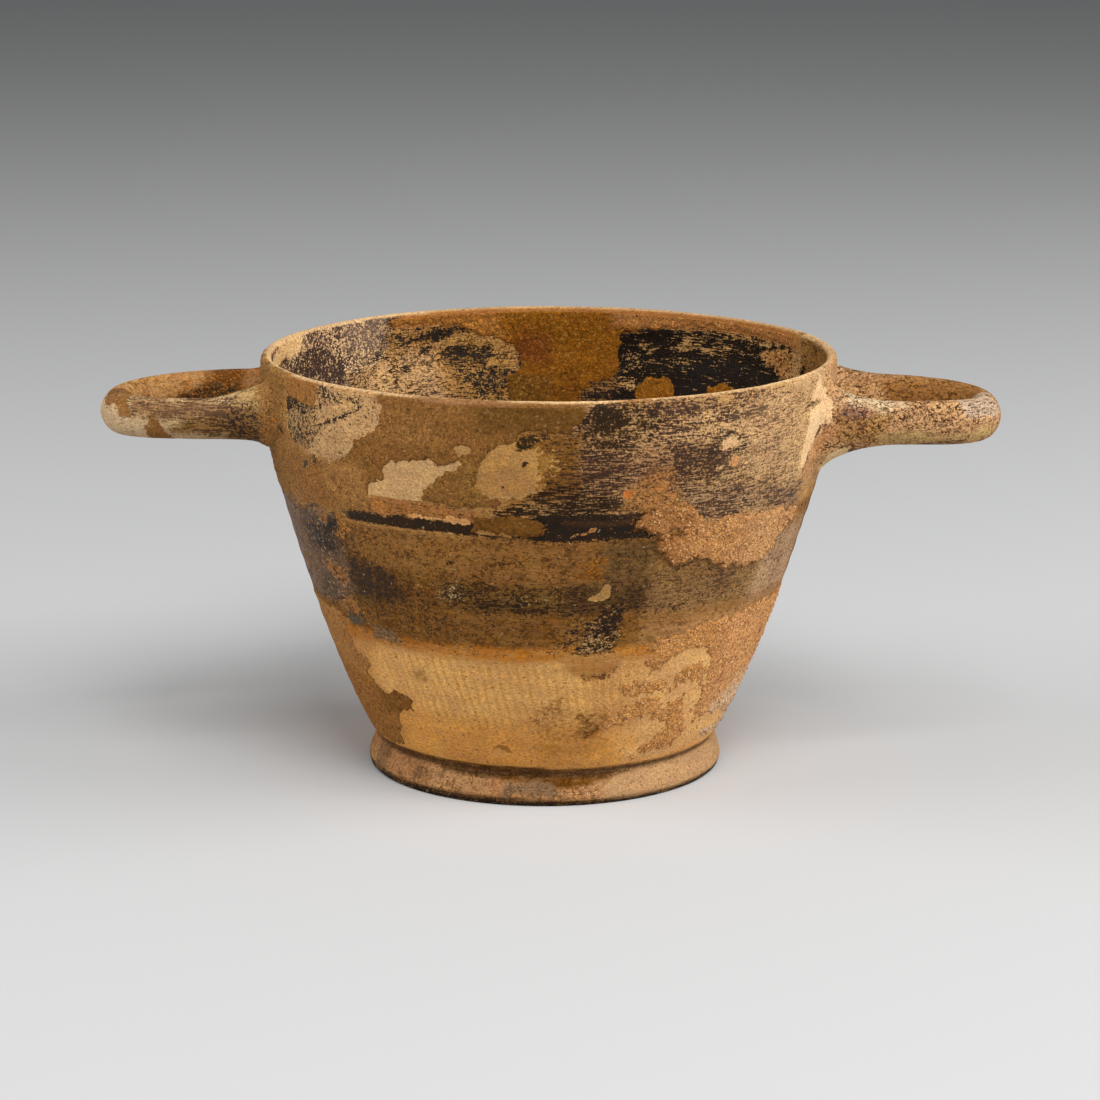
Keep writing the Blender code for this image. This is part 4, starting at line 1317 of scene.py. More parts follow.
HANDLE_LAYERS: tuple[Layer, ...] = (
    Loops(Tone(ground="#b3935f", film=0.12, slip=0.26, slip_tint="#4c3420", flecked=0.6, flake=0.0, mud=0.16,
               mud_tint="#8a5f33", strokes=0.0, cracked=0.8)),
    # The left handle's near limb: cream with dark lengthwise streaks, purple-brown above, brown smears by the tip.
    StrapPatch(((-95, 70), (-95, 83), (-60, 83), (-60, 70)),
               Tone(ground="#c4a476", slip=0.44, slip_tint="#5c432c", flecked=0.0, cracked=0.5)),
    StrapPatch(((-95, 70), (-95, 79), (-84, 77), (-74, 75), (-66, 72), (-66, 70)),
               Tone(ground="#c0a37e", slip=0.1, cracked=0.2), soft=3.0),
    StrapPatch(((-86, 77), (-86, 80.4), (-70, 80.8), (-62, 79.6), (-62, 77.4), (-72, 77)),
               Tone(ground="#a37d55", slip=0.48, slip_tint="#5f432b", flecked=0.0, film=0.2), soft=1.6),
    StrapPatch(((-79.6, 77.4), (-79, 80), (-70, 80), (-69, 78)),
               Tone(ground="#94704f", film=0.4, film_tint="#7a5a44"), soft=2.0),
    StrapPatch(((-78, 74.4), (-74, 77), (-68, 77.6), (-63, 77), (-64, 74.4), (-70, 73.6)),
               Tone(slip=0.46, slip_tint="#46301a", ground="#9a7445", flecked=0.0, film=0.5, film_tint="#6d4a22"),
               soft=2.4),
    StrapPatch(((-66, 72), (-67, 79), (-62, 80.6), (-56, 80), (-56, 71)),
               Tone(slip=0.46, slip_tint="#36261a", ground="#9c784a", flecked=0.9, film=0.4, mud=0.34,
                    mud_tint="#84592c", cracked=1.0), soft=3.0, ragged=1.4),
    StrapPatch(((-65, 79.4), (-63, 83), (-56, 84), (-56, 80.4)),
               Tone(ground="#b79460", slip=0.2, film=0.1), soft=1.4),
    StrapPatch(((-92.6, 78.2), (-92, 80.4), (-89.4, 80.4), (-89, 79.2), (-90.6, 78.2)),
               Tone(mud=0.9, mud_tint="#85592f"), soft=0.8),
    StrapPatch(((-89.2, 80.6), (-89.2, 77.6), (-88.6, 76.4), (-86.4, 76.6), (-86.6, 77.8), (-87.8, 78.6),
                (-87.6, 79.8), (-85, 80.6)),
               Tone(mud=0.92, mud_tint="#895d31"), soft=0.8, ragged=0.5),
    StrapPatch(((-83.4, 73), (-82.6, 76.8), (-81, 77), (-79.4, 74.6), (-77, 72.6), (-74, 71.6), (-82, 71.6)),
               Tone(mud=0.94, mud_tint="#7b5024"), soft=0.8, ragged=0.6),
    StrapPatch(((-84, 70), (-84, 72.2), (-66, 72), (-66, 70)),
               Tone(slip=0.6, slip_tint="#3a2818", flecked=0.1), soft=0.8),
    # Its far limb: orange-tan, with a painted highlight along its top, dark brown inside the loop and a pinkish root.
    StrapPatch(((-94, 70), (-94, 86), (-58, 86), (-58, 70)),
               Tone(ground="#bb8d59", slip=0.16, slip_tint="#7a4a1e", film=0.16, film_tint="#9c5f26", mud=0.42,
                    mud_tint="#a5682f", flecked=0.6, cracked=0.6), far=True),
    StrapPatch(((-94, 78), (-92, 84), (-87.6, 84.5), (-87, 80), (-89, 78)),
               Tone(ground="#c99a62", mud=0.36), far=True, soft=2.0),
    # Painted highlight: a paler strip along the top edge of the far limb.
    StrapPatch(((-88, 81), (-84, 83), (-66, 84), (-66, 82.4), (-80, 81.4)),
               Tone(ground="#c29a6c", mud=0.1), far=True),
    StrapPatch(((-74, 76), (-73, 80.4), (-70, 83), (-58, 84), (-58, 76)),
               Tone(ground="#6e4115", slip=0.24, film=0.3, film_tint="#543106"), far=True, soft=3.0),
    StrapPatch(((-66, 76), (-65, 83), (-58, 84), (-58, 76)),
               Tone(ground="#a87b4e", film=0.15, cracked=0.5), far=True, soft=2.0),
    StrapPatch(((-84, 73), (-79, 76.8), (-74, 78.6), (-68, 78.6), (-65.6, 76.4), (-68, 72)),
               Tone(slip=0.5, slip_tint="#2c2010", ground="#876232", film=0.7, film_tint="#523819", flecked=0.9),
               far=True, soft=2.2),
    StrapPatch(((-78, 72), (-77, 75), (-68, 75.6), (-66, 72)),
               Tone(slip=0.36, ground="#a88755", film=0.3), far=True, soft=1.4),
    # The right handle's near limb: pinkish tan, finely cracked, dark brown at its root, cream above, partly as
    # painted highlight along its top, and cream below.
    StrapPatch(((54, 66), (54, 86), (95, 84), (95, 70)),
               Tone(ground="#bf9264", slip=0.3, slip_tint="#6b4628", flecked=0.7, mud=0.2, mud_tint="#9c7046",
                    cracked=1.0)),
    # Partly painted highlight: the cream along the limb's top edge.
    StrapPatch(((60, 80.4), (60, 84), (70, 81.6), (73, 79.4), (68, 78.4), (64, 79.4)),
               Tone(ground="#d3b68e", slip=0.26, slip_tint="#80613f", flecked=0.0, mud=0.0, cracked=0.9), soft=1.2,
               ragged=0.9),
    StrapPatch(((56, 73), (57, 79), (64, 79), (69, 77.4), (69, 74), (64, 72.4)),
               Tone(ground="#b38450", film=0.36, film_tint="#8b6032", slip=0.38, slip_tint="#523317", flecked=1.0,
                    cracked=0.8), soft=2.6, ragged=1.2),
    StrapPatch(((59, 78), (60, 80.2), (65, 80), (66, 77.6), (62, 77)),
               Tone(ground="#8e6a58", slip=0.3, slip_tint="#4a3530"), soft=2.0),
    StrapPatch(((66, 76), (67, 79), (77, 79), (84, 77.4), (84, 74), (76, 74.6), (74, 76.4)),
               Tone(slip=0.4, slip_tint="#5a3c22", flecked=0.7, cracked=1.0), soft=2.0),
    StrapPatch(((85, 76.6), (84, 79.8), (91, 80), (94, 77), (92, 75.6)),
               Tone(ground="#bfa388", slip=0.3, slip_tint="#4a3826", flecked=0.0, cracked=0.5), soft=1.4),
    StrapPatch(((67, 71.4), (67, 74.6), (76, 74.4), (80, 73), (92, 74.4), (92, 71.6)),
               Tone(ground="#b89662", slip=0.14, cracked=0.4), soft=1.2),
    StrapPatch(((72, 70), (72, 72), (86, 72.4), (86, 70)),
               Tone(slip=0.5, slip_tint="#553619", flecked=0.1), soft=0.8),
    # Its far limb: brown within the loop, with dark pits towards the root.
    StrapPatch(((58, 66), (58, 86), (95, 84), (95, 70)),
               Tone(ground="#a87d4e", slip=0.24, slip_tint="#6a431f", film=0.3, film_tint="#8a5a2c", mud=0.2,
                    flecked=0.9), far=True),
    StrapPatch(((72, 74), (72, 79.4), (90, 80), (92, 77), (88, 74)),
               Tone(ground="#a2723e", film=0.4, film_tint="#855627"), far=True, soft=2.0),
    StrapPatch(((60, 73), (61, 79), (70, 79), (72, 74)),
               Tone(slip=0.22, slip_tint="#643f1e", ground="#d4a46c", film=0.1, cracked=0.8), far=True, soft=2.0),
    StrapPatch(((58, 78.4), (58, 88), (72, 84), (76, 80.4)),
               Tone(ground="#cda173", slip=0.3, slip_tint="#6a482c"), far=True, soft=1.6),
    # The crust that wraps the left root, and the pinkish clay and pale seams of the right one, with painted shade
    # along the crease where it meets the wall.
    Patch(((-100, 64), (-88, 60), (-70, 61), (-62, 64), (-61, 72), (-62, 82), (-61, 88.3), (-92, 88.3), (-100, 80)),
          Tone(ground="#b9864a", film=0.15, slip=0.22, slip_tint="#5c3f22", flecked=1.0, mud=0.44, mud_tint="#ae7d46",
               crust=0.4, cracked=0.5), soft=2.0, ragged=1.2, reach=1.6),
    Patch(((-66, 60), (-46, 62.5), (-38, 66), (-46, 72), (-52, 74), (-62, 75)),
          Tone(ground="#b8834a", slip=0.22, slip_tint="#5c3f22", flecked=1.0, mud=0.44, mud_tint="#b27840", crust=0.4,
               film=0.2), soft=2.4, ragged=1.5, reach=3.0),
    Patch(((-71, 72), (-69, 79), (-64, 78), (-63, 68), (-68, 66)), Tone(mud_tint="#a5632c"), soft=3.0, reach=2.0),
    Flecks(((-64.6, 76.8, 1.4, 1.2), (-52.4, 72, 1.0, 0.8), (-56, 70.6, 0.8, 0.6), (-51, 60.4, 1.4, 1.0)),
           Tone(slip=0.72, slip_tint="#3c332a", mud=0.1)),
    Patch(((68, 62), (66, 70), (69, 76), (70, 88.3), (92, 88.3), (94, 66)),
          Tone(ground="#bd9063", slip=0.26, slip_tint="#5b4230", flecked=0.9, mud=0.26, mud_tint="#ab7a4c"), soft=3.0,
          ragged=1.5, reach=1.6),
    Patch(((63, 66), (64, 76), (68, 80), (69, 76), (66, 70)),
          Tone(ground="#cbaa7c", slip=0.1, mud=0.0), soft=1.0, ragged=0.6),
    Patch(((67.2, 76.6), (64.4, 72), (63.4, 66), (66, 65), (67.6, 71), (70, 76)),
          Tone(ground="#c08a5c", slip=0.12, mud=0.24, mud_tint="#a9683a"), soft=1.0, reach=6.0),
    # Painted shade: a thin dark line along the crease where the right root meets the wall.
    Patch(((66.8, 76.6), (63.4, 72), (62.6, 66), (63.2, 66), (64.2, 72), (67.1, 76)),
          Tone(slip=0.76, slip_tint="#5c4022", flake=0.0), soft=0.6, ragged=0.4),
    Patch(((70, 66), (69.4, 70), (72, 71.6), (74, 69), (72.4, 66)),
          Tone(flake=1.0, flake_tint="#c8a87c"), soft=0.9, reach=6.0),
    Patch(((72.4, 69.4), (72, 72), (75, 72.4), (76, 70)), Tone(slip=0.8, slip_tint="#3a2612"), soft=1.2, reach=6.0),
)

INSIDE_LAYERS: tuple[Layer, ...] = (
    Band(5.0, 90.0,
         Tone(ground="#a97a45", slip=0.66, slip_tint="#241710", film=0.4, film_tint="#6a4724", flake=0.0, mud=0.2,
              mud_tint="#8a5d2e", flecked=0.1)),
    Band(5.0, 45.0,
         Tone(slip=0.46, film=0.6, film_tint="#6f491f", mud=0.5, mud_tint="#7d5220", ground="#8f6430", flecked=0.6),
         soft=24.0),
    Band(5.0, 16.0, Tone(slip=0.2, film=0.6, film_tint="#75491c", mud=0.75, ground="#85582a"), soft=8.0),
    # Right: black glossy slip, flaked in rows, with a bare patch and pale runs near the handle.
    Patch(((103, 44), (96, 56), (99, 66), (96, 83), (118, 84.6), (133, 85.6), (143, 85), (152, 84.4), (160, 83),
           (164, 81), (164.4, 60), (158, 50), (148, 54), (140, 42), (122, 48)),
          Tone(slip=0.94, slip_tint="#120a04", film=0.0, ground="#b98e5c", flecked=0.0), soft=1.4, ragged=0.9),
    Patch(((126, 74), (127, 79.4), (143, 79.4), (158, 79), (162, 77), (162, 62), (128, 62)),
          Tone(slip=0.95), soft=2.0),
    Patch(((119, 83.2), (119, 84.8), (140, 84.8), (151, 83.8), (151, 82.2), (135, 82.4)),
          Tone(slip=0.66, ground="#b48a54"), soft=1.0, ragged=0.8),
    Patch(((124, 80.4), (124, 82.2), (145, 82), (152, 81), (152, 79.8), (139, 79.4)),
          Tone(slip=0.72, ground="#b48a54"), soft=1.0, ragged=0.8),
    Patch(((145.6, 80), (147, 82.8), (149, 83), (148.4, 81), (151, 80.4), (152.6, 79.6), (149, 79.2)),
          Tone(slip=0.42), soft=0.8, ragged=0.5),
    Patch(((154.6, 79.2), (156, 81), (160, 80.6), (160.4, 79), (157, 78.8)),
          Tone(slip=0.5, ground="#b48a54"), soft=1.0, ragged=0.8),
    Patch(((140, 76), (140, 77.2), (158, 77.8), (158, 76.2)),
          Tone(slip=0.74, ground="#b48a54"), soft=1.0, ragged=0.8),
    Patch(((136, 73.8), (136, 75), (143, 75.4), (143, 74.2)), Tone(slip=0.7, ground="#b48a54"), soft=1.0, ragged=0.6),
    Patch(((158, 73), (158, 79), (164, 79), (164, 73)), Tone(slip=0.76, flecked=0.8), soft=1.6, ragged=1.0),
    Patch(((160, 70.6), (160, 72.8), (168, 72.6), (171, 69.6), (168, 68.6)),
          Tone(slip=0.5, flecked=0.2), soft=1.6, ragged=1.0),
    Flecks(((142, 80.0, 2.6, 0.3), (124.6, 83.9, 1.6, 0.3), (131, 83.2, 1.2, 0.3), (145, 71.4, 0.5, 0.5),
            (151, 77.2, 0.9, 0.3)),
           Tone(slip=0.3, mud=0.0), ragged=0.9),
    Patch(((113, 77), (114, 83.4), (118, 84), (124.6, 82.6), (126.6, 81), (125, 78.6), (119, 77.5)),
          Tone(slip=0.28, ground="#b88248", flecked=0.9, cracked=1.0), soft=1.4, ragged=1.2),
    Patch(((109.5, 78), (110, 88), (114.8, 88), (115.4, 78)),
          Tone(slip=0.3, ground="#b68b58", flecked=0.2), soft=1.2, ragged=0.8),
    Patch(((48, 87), (54, 89), (110, 89), (110, 74), (98, 64), (90, 70), (80, 67), (72, 76), (64, 78), (60, 84)),
          Tone(slip=0.36, ground="#a8793f", film=0.3, mud=0.4, mud_tint="#a06c36", flecked=0.3), soft=5.0,
          ragged=3.0),
    Patch(((97, 76), (98, 82), (102, 83), (103, 77)), Tone(slip=0.66, flecked=0.3), soft=2.0, ragged=1.2),
    # Left: pale clay peppered with what is left of the slip, then purple-black slip, then bare streaky clay.
    Patch(((188, 58), (187, 83), (205, 85), (221, 85), (228, 70), (221, 60), (214, 64), (206, 54), (198, 60),
           (193, 52)),
          Tone(slip=0.37, ground="#b6864c", film=0.1, mud=0.3, mud_tint="#98642c", flecked=0.25, cracked=0.7),
          soft=3.0, ragged=1.5),
    Patch(((204, 66), (206, 80), (228, 78), (237, 73), (233, 64), (222, 66), (214, 60)),
          Tone(slip=0.36, ground="#c99c6a", mud=0.16, slip_tint="#3a2a22", flecked=0.2, cracked=1.0), soft=4.0,
          ragged=2.0),
    Patch(((219, 79), (218, 88), (248, 88), (250, 84), (262, 84), (262, 70), (238, 72), (228, 76)),
          Tone(slip=0.56, slip_tint="#4a372e", ground="#d8b082", flecked=0.8, film=0.0), soft=2.0, ragged=1.5),
    Patch(((218.6, 80), (219, 88), (232, 88), (230, 82), (226, 80)), Tone(slip_tint="#6c5648", slip=0.62), soft=3.0),
    Patch(((231, 75), (232, 80.6), (236, 82.2), (242, 83.4), (248, 84), (262, 84), (262, 74), (240, 72)),
          Tone(slip=0.76, slip_tint="#3b2a22", flecked=0.9), soft=1.6, ragged=1.5),
    Patch(((249, 81), (250, 84.2), (258, 84.4), (262, 82), (256, 80)),
          Tone(slip=0.6, slip_tint="#3a2b24"), soft=1.4, ragged=1.0),
    Patch(((199, 84.4), (202, 84.6), (206, 83.5), (211.6, 83), (212.6, 81.6), (207, 81.4), (202.4, 82.2), (199, 83)),
          Tone(slip=0.84, slip_tint="#241a12", flecked=0.9), soft=1.2, ragged=1.0),
    Patch(((212, 82.8), (219.6, 83.6), (220, 81.8), (212, 81.4)),
          Tone(slip=0.64, slip_tint="#33261f"), soft=1.6, ragged=1.2),
    Patch(((204.6, 79.6), (199.6, 80.8), (193.6, 79.6), (191.6, 77), (195, 74.6), (199, 75.8), (204, 77.6)),
          Tone(slip=0.64, slip_tint="#241a12"), soft=2.4, ragged=2.2),
    Patch(((201, 74), (193, 75.4), (188.4, 73.4), (189.6, 69), (198, 68.4)),
          Tone(slip=0.6, slip_tint="#241a12", flecked=0.8), soft=2.0, ragged=2.0),
    Flecks(((185.2, 72.2, 1.9, 0.8), (196.4, 77.8, 1.5, 0.9), (200, 78.4, 1.2, 0.6), (209, 79.6, 0.9, 0.4),
            (214, 75.8, 0.8, 0.5), (221, 78.6, 1.2, 0.6)),
           Tone(slip=0.8, slip_tint="#241a12", flecked=0.2), soft=1.0, ragged=1.6),
    Patch(((248.6, 84), (247, 88.5), (270, 88.5), (270, 82), (258, 83.7)),
          Tone(ground="#d8ad76", slip=0.2, slip_tint="#7a5230", flecked=0.6, mud=0.1, film=0.0), soft=1.2,
          ragged=0.8),
    Patch(((262, 86.4), (261, 88.5), (270, 88.5), (270, 86)),
          Tone(slip=0.6, slip_tint="#4a3436", flecked=0.9), soft=1.2, ragged=0.8),
    # Mud along the back of the lip, and on its top a thin pale line: rubbed clay and painted highlight.
    Band(84.6, 90.0,
         Tone(ground="#a66c38", slip=0.04, film=0.15, mud=0.3, mud_tint="#99682f"), soft=1.2, start=112.0, end=216.0),
    Band(87.8, 90.0, Tone(ground="#c09a6c", mud=0.2, mud_tint="#a87846"), soft=0.3, start=112.0, end=216.0),
    Band(87.6, 90.0, Tone(ground=LIP_CREAM_AND_HIGHLIGHT, slip=0.1, film=0.1), soft=0.4, start=208.0, end=470.0),
)


@dataclass(frozen=True)
class WornSlipware:
    """The cup's finish: unglazed buff earthenware, brushed with an iron-rich slip that fired dark.

    The clay is matt, mottled and gritty. The slip is a thin skin, a little glossy, that has worn off in streaks or
    in flecks, and stains the clay brown where it has gone. Films and mud dull both.
    """

    # Each pattern's size in millimetres along x, y and z, its detail and its roughness.
    patterns: tuple[tuple[str, Place, float, float], ...] = (
        ("clouds", (9.0, 9.0, 7.0), 3.0, 0.55),
        ("blotch", (2.4, 2.4, 1.9), 4.0, 0.65),
        ("edge", (1.0, 1.0, 0.7), 4.0, 0.7),
        ("grit", (0.5, 0.5, 0.42), 2.0, 0.7),
        ("speck", (0.7, 0.7, 0.6), 0.0, 0.5),
        ("streak", (5.0, 5.0, 0.45), 4.0, 0.62),
        ("hairline", (2.4, 2.4, 0.22), 1.0, 0.5),
        ("loops", (1.5, 1.5, 1.1), 3.0, 0.6),
    )
    # What the noise reads in its darkest and lightest places, which the patterns turn to 0 and 1.
    noise_span: Span = (0.28, 0.72)
    clay_swings: Shares = (("clouds", 0.1), ("blotch", 0.16), ("grit", 0.37))
    film_swings: Shares = (("streak", 0.7), ("blotch", 0.5), ("grit", 1.0))
    film_least: float = -0.1
    # How much each pattern counts where the slip wore off in streaks and in flecks, after a start below zero.
    wear_start: float = -0.56
    streak_shares: Shares = (("clouds", 0.22), ("streak", 0.5), ("hairline", 0.66), ("edge", 0.24), ("grit", 0.54))
    fleck_shares: Shares = (("clouds", 0.12), ("edge", 0.9), ("blotch", 0.4), ("grit", 0.74))
    # Slip thinner than this share leaves its last traces, down to this much less than nothing.
    last_slip: float = 0.12
    no_slip: float = -0.4
    slip_depth: Span = (0.65, 0.7)
    stain_strength: Span = (0.32, 0.7)
    # The strokes' phase: their drift, their slant for each millimetre of height, and their number in a turn.
    stroke_phase: Shares = (("clouds", 2.5), ("height", 0.53), ("turn", 153.0))
    stroke_trough: float = -0.3
    stroke_tint: str = "#9c6f3c"
    speck: Cover = Cover(1.03, 1.13, 0.55, "#50351c")
    # Pale specks: quartz grains, lightened into painted glints of light.
    quartz: Cover = Cover(-0.2, -0.27, 0.3, "#dcc39a")
    stain: Cover = Cover(-0.3, 0.02, tint="#5c3c19", soft=True)
    skin: Cover = Cover(-0.02, 0.06, 0.995, soft=True)
    flake: Cover = Cover(0.82, 0.88, 0.96, soft=True)
    flake_edge: Shares = (("edge", 0.55), ("grit", 0.16))
    mud: Cover = Cover(1.04, 1.2, 0.96, soft=True)
    mud_edge: Shares = (("edge", 0.5), ("blotch", 0.2), ("grit", 0.5))
    # A crack runs where its winding pattern is this near its middle, in groups where the blotches read this much.
    crack_width: Span = (0.16, 0.04)
    crack_groups: Span = (0.3, 0.7)
    crack_tint: str = "#2e1b0b"
    hue_swing: float = 0.008
    depth: Span = (0.98, 0.06)
    clay_roughness: float = 0.85
    slip_roughness: float = 0.36
    mud_roughness: float = 0.95
    ior: float = 1.5
    specular: float = 0.09
    # Relief in millimetres: grit, streaks, and each layer's own thickness.
    heights: Shares = (
        ("grit", 0.1),
        ("streak", 0.05),
        ("edge", 0.06),
        ("skin", 0.03),
        ("flake", -0.09),
        ("mud", 0.1),
        ("crack", -0.16),
    )

    def grains(self, tree: Tree, place: Socket) -> Sockets:
        """Adds the patterns, each mostly between 0 and 1."""
        low, high = self.noise_span
        grain = {}
        for name, sizes, detail, roughness in self.patterns:
            per_metre = tuple(1.0 / (size * MM) for size in sizes)
            spot = add_node(tree, "ShaderNodeVectorMath", {0: place, 1: per_metre}, operation="MULTIPLY").outputs[0]
            kind = {"Vector": spot, "Scale": 1.0, "Detail": detail, "Roughness": roughness}
            noise = add_node(tree, "ShaderNodeTexNoise", kind).outputs["Fac"]
            span = {"Value": noise, "From Min": low, "From Max": high}
            grain[name] = add_node(tree, "ShaderNodeMapRange", span, clamp=False).outputs[0]
        return grain

    def strokes(self, tree: Tree, place: Socket, strokes: Socket, grain: Sockets) -> Socket:
        """Adds the thin upright brush strokes.

        Args:
            tree: The finish's tree.
            place: The place in metres.
            strokes: How strongly they are painted there.
            grain: The patterns.

        Returns:
            How strongly they show.
        """
        spot = add_node(tree, "ShaderNodeVectorMath", {0: place, 3: 1.0 / MM}, operation="SCALE").outputs[0]
        point = add_node(tree, "ShaderNodeSeparateXYZ", {0: spot}).outputs
        towards = add_node(tree, "ShaderNodeMath", {0: point[1], 1: -1.0}, operation="MULTIPLY").outputs[0]
        turn = add_node(tree, "ShaderNodeMath", {0: point[0], 1: towards}, operation="ARCTAN2").outputs[0]
        phase = weighted_sum(tree, {"clouds": grain["clouds"], "height": point[2], "turn": turn}, self.stroke_phase)
        wave = add_node(tree, "ShaderNodeMath", {0: phase}, operation="SINE").outputs[0]
        span = {"Value": wave, "From Min": self.stroke_trough, "From Max": 1.0}
        shown = add_node(tree, "ShaderNodeMapRange", span, interpolation_type="SMOOTHSTEP").outputs[0]
        for factor in (strokes, grain["blotch"]):
            shown = add_node(tree, "ShaderNodeMath", {0: shown, 1: factor}, operation="MULTIPLY").outputs[0]
        return shown

    def cracks(self, tree: Tree, grain: Sockets, cracked: Socket, flaked: Socket) -> Socket:
        """Adds fine winding cracks with soil in them, in groups, drawn wider than they are so that they show.

        Args:
            tree: The finish's tree.
            grain: The patterns.
            cracked: How much of a place is cracked.
            flaked: Where the skin has flaked off, and its cracks with it.

        Returns:
            How strongly they show.
        """
        off_middle = add_node(tree, "ShaderNodeMath", {0: grain["loops"], 1: 0.5}, operation="SUBTRACT").outputs[0]
        away = add_node(tree, "ShaderNodeMath", {0: off_middle}, operation="ABSOLUTE").outputs[0]
        far, near = self.crack_width
        span = {"Value": away, "From Min": far, "From Max": near}
        crack = add_node(tree, "ShaderNodeMapRange", span, interpolation_type="SMOOTHSTEP").outputs[0]
        few, many = self.crack_groups
        span = {"Value": grain["blotch"], "From Min": few, "From Max": many}
        group = add_node(tree, "ShaderNodeMapRange", span).outputs[0]
        whole = add_node(tree, "ShaderNodeMath", {0: 1.0, 1: flaked}, operation="SUBTRACT").outputs[0]
        for share in (group, whole, cracked):
            crack = add_node(tree, "ShaderNodeMath", {0: crack, 1: share}, operation="MULTIPLY").outputs[0]
        return crack

    def material(self) -> bpy.types.Material:
        """Builds the finish."""
        material, tree = new_finish("worn slip on buff earthenware")
        painted = {
            name: add_node(tree, "ShaderNodeAttribute", attribute_name=name).outputs
            for name in Paint.COLOURS + Paint.AMOUNTS
        }
        ground, film_tint, slip_tint, flake_tint, mud_tint = (painted[name]["Color"] for name in Paint.COLOURS)
        film, slip, flecked, flake, mud, strokes, cracked, crust = (painted[name]["Fac"] for name in Paint.AMOUNTS)
        place = add_node(tree, "ShaderNodeTexCoord").outputs["Object"]
        grain = self.grains(tree, place)

        # The clay and all that is soil or clay on it is lighter and darker in clouds, blotches and grit.
        shading: object = 1.0
        for name, swing in self.clay_swings:
            part = weighted_sum(tree, grain, ((name, 2.0 * swing),), 1.0 - swing)
            shading = add_node(tree, "ShaderNodeMath", {0: part, 1: shading}, operation="MULTIPLY").outputs[0]
        clay, film_tint, flake_tint, mud_tint = (
            add_node(tree, "ShaderNodeVectorMath", {0: tint, 3: shading}, operation="SCALE").outputs[0]
            for tint in (ground, film_tint, flake_tint, mud_tint)
        )

        # On the clay: brush strokes, and dark specks in its pores.
        brushed = self.strokes(tree, place, strokes, grain)
        stroked = {FACTOR: brushed, FIRST: clay, SECOND: linear(self.stroke_tint)}
        colour = add_node(tree, "ShaderNodeMix", stroked, data_type="RGBA").outputs[MIXED]
        _, colour = self.speck.lay(tree, grain["speck"], colour)

        # The film: thicker and thinner along the wheel marks, in blotches and grain by grain.
        uneven = weighted_sum(tree, grain, self.film_swings, self.film_least)
        thick = {0: film, 1: uneven}
        filmed = add_node(tree, "ShaderNodeMath", thick, operation="MULTIPLY", use_clamp=True).outputs[0]
        over = {FACTOR: filmed, FIRST: colour, SECOND: film_tint}
        colour = add_node(tree, "ShaderNodeMix", over, data_type="RGBA").outputs[MIXED]

        # The slip: a brown stain where it is nearly worn through, and a sharp-edged skin where it is left.
        streaky = weighted_sum(tree, grain, self.streak_shares, self.wear_start)
        flecky = weighted_sum(tree, grain, self.fleck_shares, self.wear_start)
        wear = add_node(tree, "ShaderNodeMix", {0: flecked, 2: streaky, 3: flecky}, data_type="FLOAT").outputs[0]
        traces = {"Value": slip, "From Min": 0.0, "From Max": self.last_slip, "To Min": self.no_slip, "To Max": 0.0}
        lacking = add_node(tree, "ShaderNodeMapRange", traces).outputs[0]
        left = add_node(tree, "ShaderNodeMath", {0: slip, 1: wear}, operation="SUBTRACT").outputs[0]
        left = add_node(tree, "ShaderNodeMath", {0: left, 1: lacking}, operation="ADD").outputs[0]
        least, swing = self.slip_depth
        deep = weighted_sum(tree, grain, (("blotch", swing),), least)
        slip_tint = add_node(tree, "ShaderNodeVectorMath", {0: slip_tint, 3: deep}, operation="SCALE").outputs[0]
        least, swing = self.stain_strength
        terms = {0: film, 1: swing, 2: least}
        stained = add_node(tree, "ShaderNodeMath", terms, operation="MULTIPLY_ADD", use_clamp=True).outputs[0]
        _, colour = self.stain.lay(tree, left, colour, strength=stained)
        skin, colour = self.skin.lay(tree, left, colour, slip_tint)

        # Bare flaked places, then mud, each with an edge as ragged as its crumbs, then the cracks.
        flaked, colour = self.flake.lay(tree, weighted_sum(tree, grain, self.flake_edge, flake), colour, flake_tint)
        muddied, colour = self.mud.lay(tree, weighted_sum(tree, grain, self.mud_edge, mud), colour, mud_tint)
        crack = self.cracks(tree, grain, cracked, flaked)
        over = {FACTOR: crack, FIRST: colour, SECOND: linear(self.crack_tint)}
        colour = add_node(tree, "ShaderNodeMix", over, data_type="RGBA").outputs[MIXED]

        # Pale specks over it all: quartz grains with painted glints of light on them; and the colour drifting between
        # orange and olive.
        _, colour = self.quartz.lay(tree, grain["speck"], colour)
        hue = weighted_sum(tree, grain, (("clouds", self.hue_swing),), 0.5 - self.hue_swing / 2)
        least, swing = self.depth
        depth = weighted_sum(tree, grain, (("blotch", swing),), least)
        drift = {"Hue": hue, "Saturation": depth, "Color": colour}
        colour = add_node(tree, "ShaderNodeHueSaturation", drift).outputs[0]

        # Gloss: only the slip has some.
        gloss: object = self.clay_roughness
        layers = ((skin, self.slip_roughness), (flaked, self.clay_roughness), (muddied, self.mud_roughness))
        for cover, roughness in layers:
            gloss = add_node(tree, "ShaderNodeMix", {0: cover, 2: gloss, 3: roughness}, data_type="FLOAT").outputs[0]
        crumbs = add_node(tree, "ShaderNodeMath", {0: grain["grit"], 1: crust}, operation="MULTIPLY").outputs[0]
        raised = grain | {"skin": skin, "flake": flaked, "mud": muddied, "crack": crack}
        end_finish(tree, colour, gloss, weighted_sum(tree, raised, self.heights, crumbs), self.ior, self.specular)
        return material


